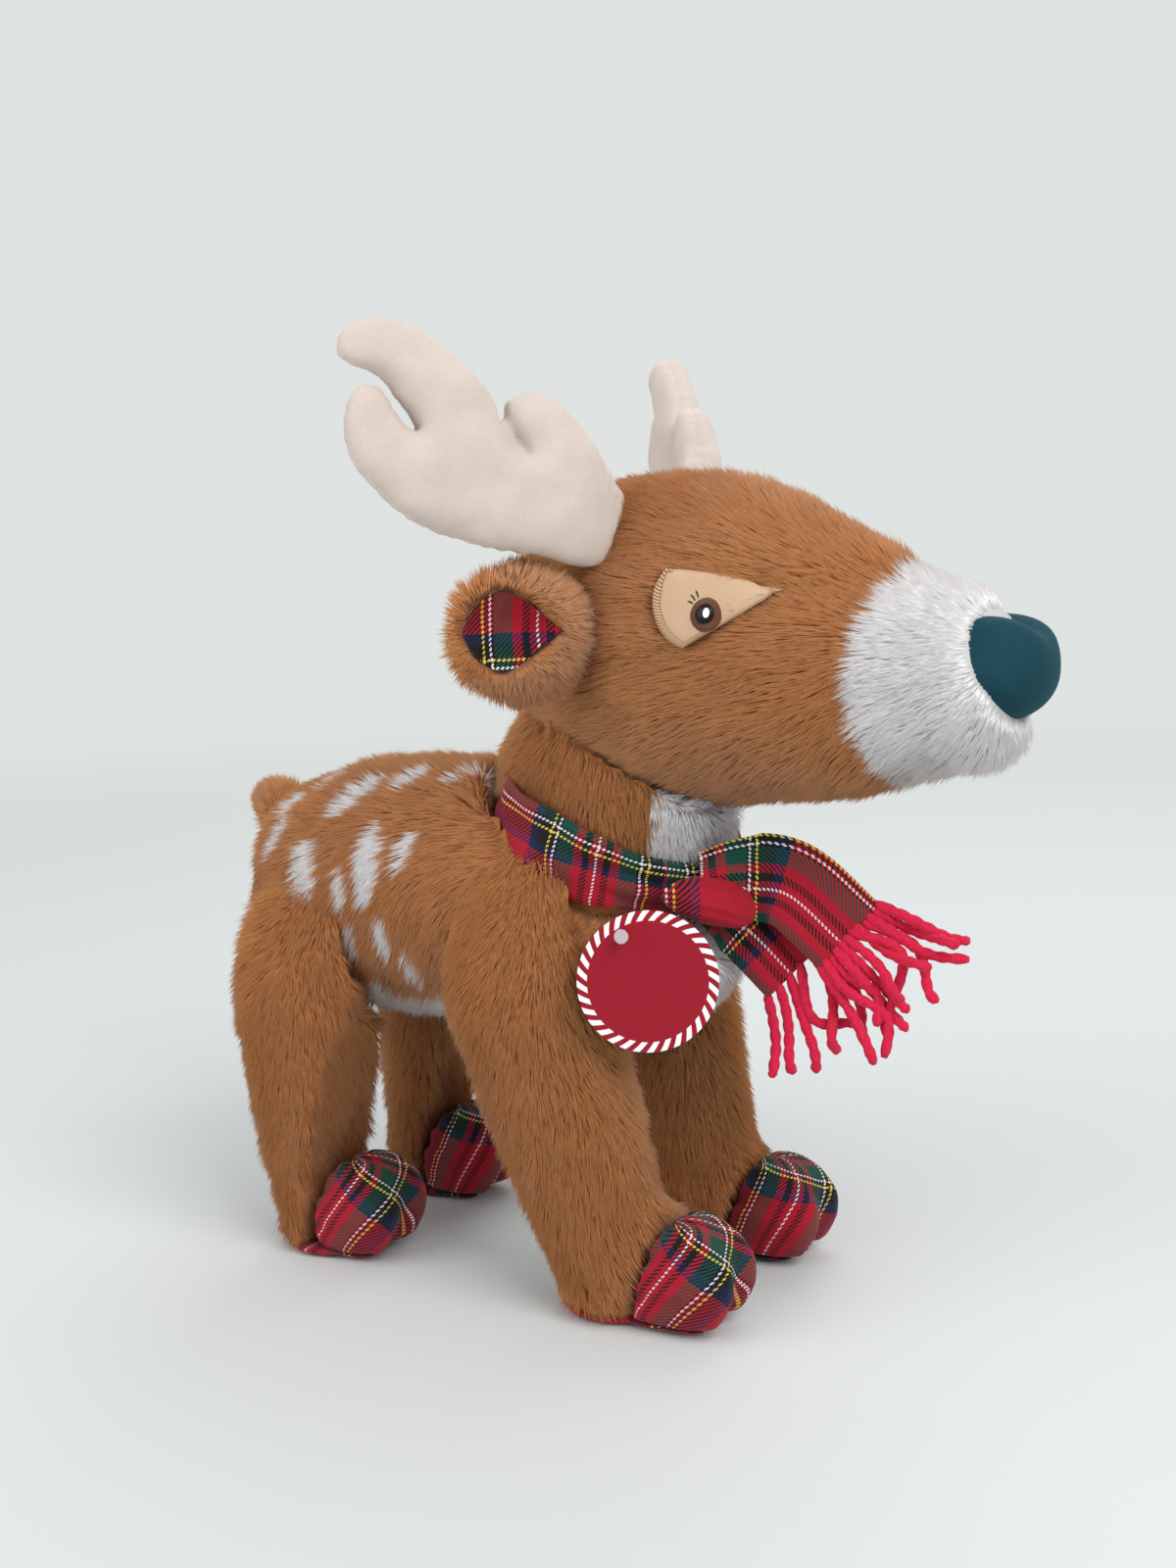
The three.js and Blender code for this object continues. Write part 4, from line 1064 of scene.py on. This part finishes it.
# Two flat pieces of velour sewn together along a line and filled: the height over each point of the
# plane comes from a stretched skin that is held at the seam
def stuffed_palm(name, line):
    low, high = line.min(axis=0) - 3, line.max(axis=0) + 3
    across = np.arange(low[0], high[0], antler_step)
    rising = np.arange(low[1], high[1], antler_step)
    grid = np.stack(np.meshgrid(across, rising, indexing="ij"), axis=-1)
    mask = inside_line(line, grid.reshape(-1, 2)).reshape(grid.shape[:2])
    skin = np.zeros(mask.shape)
    held = np.zeros(mask.shape, bool)
    for (ax, ay), (bx, by) in zip(antler_tuck, antler_tuck[1:]):
        for t in np.arange(12) / 11:
            held |= np.hypot(grid[:, :, 0] - ax - (bx - ax) * t, grid[:, :, 1] - ay - (by - ay) * t) < 0.9
    free = mask & ~held
    for _ in range(700):
        sides = (np.roll(skin, 1, 0) + np.roll(skin, -1, 0) + np.roll(skin, 1, 1) + np.roll(skin, -1, 1))
        skin = (sides + antler_step**2) / (4 + (antler_step / antler_full) ** 2) * free
    height = np.sqrt(2 * skin)
    cells = [(i, j, face) for face in (1, -1) for i in range(len(across)) for j in range(len(rising))
             if mask[i, j]]
    number = {cell: k for k, cell in enumerate(cells)}
    points, faces = [], []
    for i, j, face in cells:
        along, rise = grid[i, j] / 1000
        lift = face * max(height[i, j], 1.4 if held[i, j] else 0.3) / 1000
        points.append(antler_root + antler_way * along + np.array((0, 0, rise)) + antler_side * lift)
    for i in range(len(across) - 1):
        for j in range(len(rising) - 1):
            square = ((i, j), (i + 1, j), (i + 1, j + 1), (i, j + 1))
            if all(mask[c] for c in square):
                faces.append([number[(*c, 1)] for c in square])
                faces.append([number[(*c, -1)] for c in square][::-1])
    edges = {(a, b): None for face in faces for a, b in zip(face, face[1:] + face[:1])}
    half = len(cells) // 2
    for a, b in edges:
        if (b, a) not in edges and a < half:
            faces.append([b, a, a + half, b + half])
    palm = new_piece(name, points, faces)
    add_remesh(palm, 0.0011)
    add_smooth(palm, 7)
    apply_all(palm)
    bpy.ops.object.shade_smooth()
    return palm


antler = stuffed_palm("antler_velour_right", round_outline(antler_outline, 6))


# The root of the palm turns in towards the head
def turn_in(p):
    along = (p - antler_root) @ antler_way
    return p - np.outer(20 * np.clip(0.014 - along, 0, 1) ** 2, antler_side)


reshape(antler, turn_in)


# How deep the seam, its puckers and the rumples of the stuffing press the velour in
def seam_in(p):
    gone = p - antler_root
    off = gone @ antler_side
    along = gone @ antler_way
    pucker = 0.00025 * np.sin(along * 900 + p[:, 2] * 700) * np.exp(-((off / 0.003) ** 2))
    rumple = np.array([noise.noise(Vector(q) * 90) for q in p]) * 0.0009
    return 0.0006 * np.exp(-((off / 0.0006) ** 2)) + pucker + rumple


antler_place = points_of(antler)
move_to(antler, antler_place - normals_of(antler) * seam_in(antler_place)[:, None])
antler.data.materials.append(velour_look("antler_velour", paint(172, 157, 146), paint(221, 208, 199), 2000))
for side, (palm,) in both_sides(antler):
    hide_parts(f"antler_{side}", f"antler_stuffing_{side}")
    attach(palm, f"antler_{side}")


# Legs: stuffed plush tubes sewn to the shoulders and hips, each ending in a foot that points forward.
# The front pair slants forward. Their pile hangs down and turns forward over the foot.
leg_strands = {"front": 36000, "rear": 28000}
leg_top = {"front": (-0.044, 0.0185, 0.152), "rear": (-0.044, 0.1125, 0.138)}
sole_top = 0.0033


# The top of a leg runs up over the body and in, so that the pile hides the seam
def into_body(p, start, reach, raised, inward):
    share = eased(np.clip((p[:, 2] - start) / reach, 0, 1))
    return p + np.column_stack((inward * share, np.zeros(len(p)), raised * share))


def leg_comb(p):
    low = np.clip((0.05 - p[:, 2]) / 0.03, 0, 1)
    return np.column_stack((np.zeros(len(p)), -0.15 - low * 0.5, -1 + low * 0.4))


for end, join in (("front", (0.125, 0.052, 0.013, 0.025)), ("rear", (0.118, 0.04, 0.004, 0.014))):
    leg, leg_solid = cut_skin(f"{end}_leg_plush_right", [f"{end}_leg_right", f"{end}_leg_stuffing_right"],
                              0.004, plush_slack)
    puff(leg, 0.003)
    refine(leg)
    settle(leg, leg_solid, plush_slack, 20)
    reshape(leg, lambda p, join=join: into_body(p, *join))
    backing(leg)
    pile = grow_pile(f"{end}_leg_pile_right", leg, leg_strands[end], 31, leg_comb,
                     lambda p: p[:, 2] > sole_top + 0.003)
    top = Vector(leg_top[end])
    for side, pieces in both_sides(leg, pile):
        across = top.x if side == "right" else -top.x
        for piece in pieces:
            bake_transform(piece)
        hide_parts(f"{end}_leg_{side}", f"{end}_leg_stuffing_{side}")


# Hooves: tartan caps sewn round the front of each foot, stuffed, with a cleft between two toes, and a
# flat padded tartan sole under the whole foot. The cap is gathered at its seam with the plush.
for end in ("front", "rear"):
    hoof, _ = cut_skin(f"{end}_hoof_cap_right", [f"{end}_hoof_right"], 0.0025, 0.0008, 6)
    puff(hoof, 0.002)
    refine(hoof, 3)
    place = points_of(hoof)
    low, high = place.min(axis=0), place.max(axis=0)

    # The cap narrows towards the toe, and stands on the sole
    def toe_form(p, low=low, high=high):
        share = np.clip((high[1] - 0.008 - p[:, 1]) / 0.034, 0, 1)
        middle = (low[0] + high[0]) / 2
        turn = np.arctan2(p[:, 0] - middle, p[:, 2] - 0.02)
        gather = 1 + 0.022 * np.sin(turn * 15) * (1 - share) ** 2 + 0.012 * np.sin(turn * 9 + 1) * (1 - share)
        gather = gather * (1 - 0.12 * (1 - share) ** 2)
        return np.column_stack((middle + (p[:, 0] - middle) * (1 - 0.1 * share) * gather, p[:, 1],
                                sole_top - 0.0008 + (p[:, 2] - low[2]) * (1 - 0.16 * share**2) * gather))

    reshape(hoof, toe_form)
    heart = np.array(((low[0] + high[0]) / 2, high[1] - 0.01, (low[2] + high[2]) / 2))

    # The cloth goes round the toe, cut at a slant
    def round_toe(p, heart=heart):
        gone = p - heart
        along = np.arctan2(gone[:, 0], -gone[:, 1]) * 0.023
        up = gone[:, 2] + gone[:, 1] * 0.5
        return np.column_stack((along * 0.82 + up * 0.57 + 0.036, up * 0.82 - along * 0.57 + 0.029))

    lay_cloth(hoof, round_toe)
    sole, _ = cut_skin(f"{end}_sole_pad_right", [f"{end}_sole_right"], 0.0012, 0.0003, 3)
    lay_cloth(sole, lambda p: p[:, :2] + [0.044, 0.02])
    for side, pieces in both_sides(hoof, sole):
        for part, piece in zip(("hoof", "sole"), pieces):
            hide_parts(f"{end}_{part}_{side}")
            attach(piece, f"{end}_leg_{side}")


# Tail: a short stub of the same plush, lightly stuffed and sewn into the top of the rump.
tail_strands = 6000
tail, _ = cut_skin("tail_plush", ["tail"], 0.0025, 0.002)
refine(tail)
backing(tail)
tail_pile = grow_pile("tail_pile", tail, tail_strands, 41, lambda p: np.tile((0, 0.8, 0.5), (len(p), 1)))
for piece in (tail, tail_pile):
    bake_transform(piece)


# Scarf: one strip of doubled tartan cloth. Its band goes round the neck over the pressed pile and
# rises to the nape, and gathers into a flat knot on the right of the throat.
scarf_facing = np.array((-0.84, -0.51, 0.17)) / np.linalg.norm((-0.84, -0.51, 0.17))
scarf_width = 0.032
scarf_thick = 0.0018
knot_middle = np.array((-0.021, -0.0545, 0.1598))
knot_turn = 40  # the way from the front of the neck to the knot, in degrees
end_courses = {  # length, offset from the knot, and a course forward, up and to the left in lengths
    "upper": (0.054, 0.0, ((-0.04, 0.02, 0.0), (0.22, 0.04, 0.14), (0.5, -0.02, 0.28), (0.84, -0.36, 0.42))),
    "lower": (0.040, -0.0064, ((0, -0.12, 0.04), (0.34, -0.36, 0.2), (0.74, -0.8, 0.34))),
}


# A closed strip of cloth from a grid of points, rows along it and columns across it. It gets its
# thickness, thin edges and a UV map in metres.
def cloth_strip(name, grid, cloth_width, start, loop=False, run_way=1):
    grid = np.asarray(grid)
    rows, columns = grid.shape[:2]
    ahead = np.roll(grid, -1, axis=0) - np.roll(grid, 1, axis=0)
    if not loop:
        ahead[0], ahead[-1] = grid[1] - grid[0], grid[-1] - grid[-2]
    across = np.gradient(grid, axis=1)
    out = np.cross(ahead, across)
    out /= np.linalg.norm(out, axis=2, keepdims=True)
    edge = np.ones(columns)
    edge[[0, -1]] = 0.25
    lift = out * (scarf_thick / 2 * edge)[None, :, None]
    top, under = grid + lift, grid - lift
    middle = grid[:, columns // 2]
    run = np.concatenate(([0], np.cumsum(np.linalg.norm(np.diff(middle, axis=0), axis=1))))
    points = np.concatenate((top.reshape(-1, 3), under.reshape(-1, 3)))
    faces, base = [], rows * columns
    last = rows if loop else rows - 1
    for row in range(last):
        following = (row + 1) % rows
        for column in range(columns - 1):
            a, b = row * columns + column, following * columns + column
            faces.append((a, b, b + 1, a + 1))
            faces.append((base + a, base + a + 1, base + b + 1, base + b))
        for column in (0, columns - 1):
            a, b = row * columns + column, following * columns + column
            ring = (a, base + a, base + b, b)
            faces.append(ring if column == 0 else ring[::-1])
    if not loop:
        for row in (0, rows - 1):
            for column in range(columns - 1):
                a = row * columns + column
                ring = (a, a + 1, base + a + 1, base + a)
                faces.append(ring if row == 0 else ring[::-1])
    piece = new_piece(name, points, faces, sharp=70)
    mesh = piece.data
    layer = mesh.uv_layers.new(name="cloth")
    whole = run[-1] + (run[1] if loop else 0)
    for face in mesh.polygons:
        rows_here = [mesh.loops[k].vertex_index % base // columns for k in face.loop_indices]
        wraps = loop and max(rows_here) - min(rows_here) > 1
        for k in face.loop_indices:
            row, column = divmod(mesh.loops[k].vertex_index % base, columns)
            along = whole if wraps and row == 0 else run[row]
            layer.data[k].uv = (start[0] + column / (columns - 1) * cloth_width, start[1] + along * run_way)
    mesh.materials.append(tartan_look)
    return piece


# The band, as a loop of rows round the neck. It narrows and folds as it comes up to the knot.
band_rows = 96
band_grid = []
for k in range(band_rows):
    turn = math.radians(knot_turn + 360 * k / band_rows)
    from_knot = (math.degrees(turn) - knot_turn + 180) % 360 - 180
    to_knot = math.exp(-((from_knot / 38) ** 2))
    half = scarf_width / 2 * (1 - 0.4 * to_knot)
    row = []
    for column in range(13):
        across = (column / 6 - 1) * half
        crease = 0.0011 * to_knot * math.cos(column / 12 * math.pi * 5)
        ripple = 0.0007 * math.sin(turn * 7 + column * 0.5) + 0.0005 * math.sin(turn * 13 - column * 0.9)
        belly = 0.0018 * (1 - (column / 6 - 1) ** 2)
        reach = -0.0012 + crease + ripple + belly
        loop_point = neck_front * math.cos(turn) * (neck_half[1] + reach + 0.009 * min(0, math.cos(turn)))
        loop_point = loop_point + np.array((-1, 0, 0)) * math.sin(turn) * (neck_half[0] + reach)
        rise = (across - ((neck_start + loop_point - band_middle) @ band_up)) / (neck_up @ band_up)
        row.append(neck_start + loop_point + neck_up * rise)
    band_grid.append(row)
band = cloth_strip("scarf_wrap", band_grid, scarf_width, (0.0, 0.019), loop=True)
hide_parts("scarf_band")
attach(band, "body")


# The two ends: flat strips that leave the knot forwards, one hanging over the other, with soft folds
# that open out towards the hem. Each is finished with thick red yarn, knotted through its edge.
def smooth_line(points, steps):
    points = [2 * points[0] - points[1], *points, 2 * points[-1] - points[-2]]
    line = []
    parts = len(points) - 3
    for k in range(steps + 1):
        place = k / steps * parts
        part = min(int(place), parts - 1)
        line.append(between(points[part:part + 4], place - part))
    return np.array(line)


def scarf_end(key, wide, steps=40):
    length, behind, course = end_courses[key]
    points = [knot_middle + np.array((0, -1, 0)) * length * forward + np.array((0, 0, 1)) * length * up
              + np.array((1, 0, 0)) * length * left + scarf_facing * behind for forward, up, left in course]
    line = smooth_line(points, steps)
    grid = []
    for k, point in enumerate(line):
        share = k / steps
        ahead = line[min(k + 1, steps)] - line[max(k - 1, 0)]
        ahead /= np.linalg.norm(ahead)
        across = np.cross(scarf_facing, ahead)
        across /= np.linalg.norm(across)
        out = np.cross(ahead, across)
        row = []
        half = wide / 2 * (0.62 + 0.38 * min(1, share / 0.45))
        for column in range(15):
            side = column / 7 - 1
            fold = 0.0016 * (1 - share) * math.cos(side * 7) + 0.0012 * math.sin(side * 4 + share * 5)
            row.append(point + across * side * half + out * (fold - 0.001 * side**2))
        grid.append(row)
    return grid, ahead, across, out


ends = {}
for key, wide in (("upper", scarf_width), ("lower", scarf_width * 0.92)):
    grid, ahead, across, out = scarf_end(key, wide)
    strip = cloth_strip(f"scarf_fall_{key}", grid, -wide, (0.0566, 0.0452), run_way=-1)
    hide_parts(f"scarf_end_{key}")
    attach(strip, "scarf_ends")
    ends[key] = (strip, np.array(grid[-1]), ahead, across, out)

knot, _ = cut_skin("scarf_loop", ["scarf_knot"], 0.002, -0.001, 8)
refine(knot)
knot_along = np.array((0.52, -0.85, 0))


# The knot is a flat fold of the band, longer than high, with creases that run along it
def flat_fold(p):
    gone = p - knot_middle
    right = gone @ knot_along
    high = gone[:, 2] * 0.62
    crease = 0.0005 * np.cos(high * 1300 + right * 260) * np.clip(1 - (right / 0.012) ** 2, 0, 1)
    moved = gone * (1.05, 1.05, 0.62) + np.outer(crease, scarf_facing)
    moved += np.outer(np.minimum(right, 0) * 0.9, knot_along)
    moved -= np.outer(moved @ scarf_facing, scarf_facing) * 0.3
    moved[:, 2] -= right * 0.3
    return knot_middle + moved + (0.003, -0.0055, -0.0065)


# The cloth's length runs along the knot
def along_knot(p):
    gone = p - knot_middle
    return np.column_stack((gone @ np.array((0.1, -0.3, 0.95)) + 0.004, 0.013 - gone @ knot_along))


reshape(knot, flat_fold)
lay_cloth(knot, along_knot)
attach(knot, "body")


# A strand of two-ply yarn: a tube whose two plies twist round each other, along a line of points
def yarn_mesh(line, radius=0.0021, twist=600, sides=10):
    line = np.asarray(line)
    rows = len(line)
    ahead = np.gradient(line, axis=0)
    ahead /= np.linalg.norm(ahead, axis=1, keepdims=True)
    side = np.cross(ahead, scarf_facing + 0.01)
    side /= np.linalg.norm(side, axis=1, keepdims=True)
    up = np.cross(ahead, side)
    run = np.concatenate(([0], np.cumsum(np.linalg.norm(np.diff(line, axis=0), axis=1))))
    points, faces = [], []
    for k in range(rows):
        end_share = 0.55 if k in (0, rows - 1) else 1
        for j in range(sides):
            turn = 2 * math.pi * j / sides
            lobe = 0.72 + 0.28 * abs(math.cos(turn - run[k] * twist))
            out = side[k] * math.cos(turn) + up[k] * math.sin(turn)
            points.append(line[k] + out * radius * lobe * end_share)
    for k in range(rows - 1):
        for j in range(sides):
            n = (j + 1) % sides
            faces.append((k * sides + j, k * sides + n, (k + 1) * sides + n, (k + 1) * sides + j))
    faces.append(tuple(range(sides - 1, -1, -1)))
    faces.append(tuple((rows - 1) * sides + j for j in range(sides)))
    return points, faces


yarn_look, yarn_tree, yarn_shader = new_look("red_yarn", 0.9, 0.5, paint(255, 120, 130))
yarn_fuzz = speckle(yarn_tree, 900)
yarn_red = blended(yarn_tree, paint(168, 12, 44), paint(226, 40, 80), yarn_fuzz)
yarn_tree.links.new(yarn_red, yarn_shader.inputs["Base Color"])
add_bump(yarn_tree, yarn_shader, yarn_fuzz, 0.7, 0.0006)
rng = np.random.default_rng(7)
for key, yarns, first, last, flat in (
    ("upper", 12, (0.30, -0.92, -0.22), (0.05, -0.42, -0.88), (0.03, 0.054)),
    ("lower", 6, (0.05, -0.35, -0.95), (-0.16, 0.10, -1), (0.0276, 0.04)),
):
    strip, hem, ahead, across, out = ends[key]
    points, faces = [], []
    for strand in range(yarns):
        share = strand / (yarns - 1)
        way = np.array(first) * (1 - share) + np.array(last) * share
        way /= np.linalg.norm(way)
        place = hem[0] + (hem[-1] - hem[0]) * (1 - share) * 0.94 + (hem[-1] - hem[0]) * 0.03
        knotted = place - ahead * 0.001 + out * 0.0006 * (-1) ** strand
        length = 0.036 * (1 + 0.12 * rng.standard_normal())
        curl, phase = rng.normal(0, 1.6, 2), rng.random(2) * 6
        line = []
        for k in range(26):
            t = k / 25
            wander = across * curl[0] * 0.0055 * math.sin(t * 4.5 + phase[0]) * t
            wander = wander + out * curl[1] * 0.004 * math.sin(t * 5.5 + phase[1]) * t
            lead = ahead * length * 0.3 * math.sin(min(1, t * 1.6) * math.pi / 2) * 0.8
            line.append(knotted + lead + way * length * 0.8 * t + wander)
        new_points, new_faces = yarn_mesh(line)
        faces += [tuple(v + len(points) for v in face) for face in new_faces]
        points += new_points
    fringe = new_piece(f"yarn_fringe_{key}", points, faces)
    fringe.data.materials.append(yarn_look)
    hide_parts(f"fringe_{key}")
    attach(fringe, "scarf_ends")


# Swing tag: a round of red card with slanted white dashes round its rim, hung on a clear plastic barb.
tag_middle = np.array((-0.051, -0.0465, 0.130))
tag_turn, tag_lean = math.radians(59), math.radians(6)
tag_facing = np.array((-math.sin(tag_turn) * math.cos(tag_lean), -math.cos(tag_turn) * math.cos(tag_lean),
                       math.sin(tag_lean)))
tag_across = np.cross((0, 0, 1), tag_facing)
tag_across /= np.linalg.norm(tag_across)
tag_up = np.cross(tag_facing, tag_across)
tag_hole = (-0.009, 0.016)
tag_radius = 0.025
dash_start = 0.0214  # how far from the middle the dashes begin
dash_count = 32
card_sides = 96
card_points, card_faces = [], []
for height in (-0.0005, 0.0005):
    for radius, middle in ((tag_radius, (0, 0)), (0.002, tag_hole)):
        for k in range(card_sides):
            turn = 2 * math.pi * k / card_sides
            u, v = middle[0] + radius * math.cos(turn), middle[1] + radius * math.sin(turn)
            card_points.append(tag_middle + tag_across * u + tag_up * v + tag_facing * height)
for k in range(card_sides):
    n = (k + 1) % card_sides
    inner, above = card_sides, 2 * card_sides
    card_faces.append((above + k, above + n, above + inner + n, above + inner + k))
    card_faces.append((k, inner + k, inner + n, n))
    card_faces.append((k, n, above + n, above + k))
    card_faces.append((inner + k, above + inner + k, above + inner + n, inner + n))
card = new_piece("swing_tag_card", card_points, card_faces, sharp=40)
card_look, card_tree, card_shader = new_look("printed_card", 0.35, 0)


def along_axis(axis):
    gone = add_node(card_tree, "VectorMath", {0: object_place(card_tree), 1: tuple(tag_middle)}, "SUBTRACT")
    inputs = {0: gone.outputs["Vector"], 1: tuple(axis)}
    return add_node(card_tree, "VectorMath", inputs, "DOT_PRODUCT").outputs["Value"]


def card_maths(operation, *values):
    return maths(card_tree, operation, *values)


u, v = along_axis(tag_across), along_axis(tag_up)
radius = card_maths("SQRT", card_maths("ADD", card_maths("MULTIPLY", u, u), card_maths("MULTIPLY", v, v)))
turn = card_maths("MULTIPLY", card_maths("ARCTAN2", v, u), dash_count / (2 * math.pi))
slanted = card_maths("ADD", turn, card_maths("MULTIPLY", radius, 170.0))
dash = card_maths("LESS_THAN", card_maths("FLOORED_MODULO", slanted, 1), 0.5)
dash = card_maths("MULTIPLY", dash, card_maths("GREATER_THAN", radius, dash_start))
card_colour = blended(card_tree, paint(144, 17, 36), paint(230, 226, 226), dash)
card_tree.links.new(card_colour, card_shader.inputs["Base Color"])
card.data.materials.append(card_look)
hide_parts("swing_tag")
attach(card, "swing_tag")
barb_look, barb_tree, barb_shader = new_look("clear_plastic", 0.15, 0)
set_inputs(barb_tree, barb_shader, {"Base Color": paint(236, 230, 232), "Transmission Weight": 0.6,
                                    "Specular IOR Level": 0.5})
barb_start = tag_middle + tag_across * tag_hole[0] + tag_up * (tag_hole[1] + 0.0006) + tag_facing * 0.005
barb_parts = []
for length, width, place in ((0.03, 0.0016, barb_start - tag_facing * 0.015), (0.0012, 0.005, barb_start)):
    bpy.ops.object.select_all(action="DESELECT")
    bpy.ops.mesh.primitive_cylinder_add(vertices=32, radius=width / 2, depth=length, location=tuple(place))
    part = bpy.context.object
    part.rotation_euler = Vector(tag_facing).to_track_quat("Z", "Y").to_euler()
    bpy.ops.object.transform_apply(location=True, rotation=True, scale=True)
    barb_parts.append(part)
barb = barb_parts[0]
barb_parts[1].select_set(True)
barb.select_set(True)
bpy.context.view_layer.objects.active = barb
bpy.ops.object.join()
barb.name = "tag_barb_clear"
alone(barb)
bpy.ops.object.shade_smooth_by_angle(angle=math.radians(40))
barb.data.materials.append(barb_look)
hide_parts("tag_barb")
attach(barb, "body")
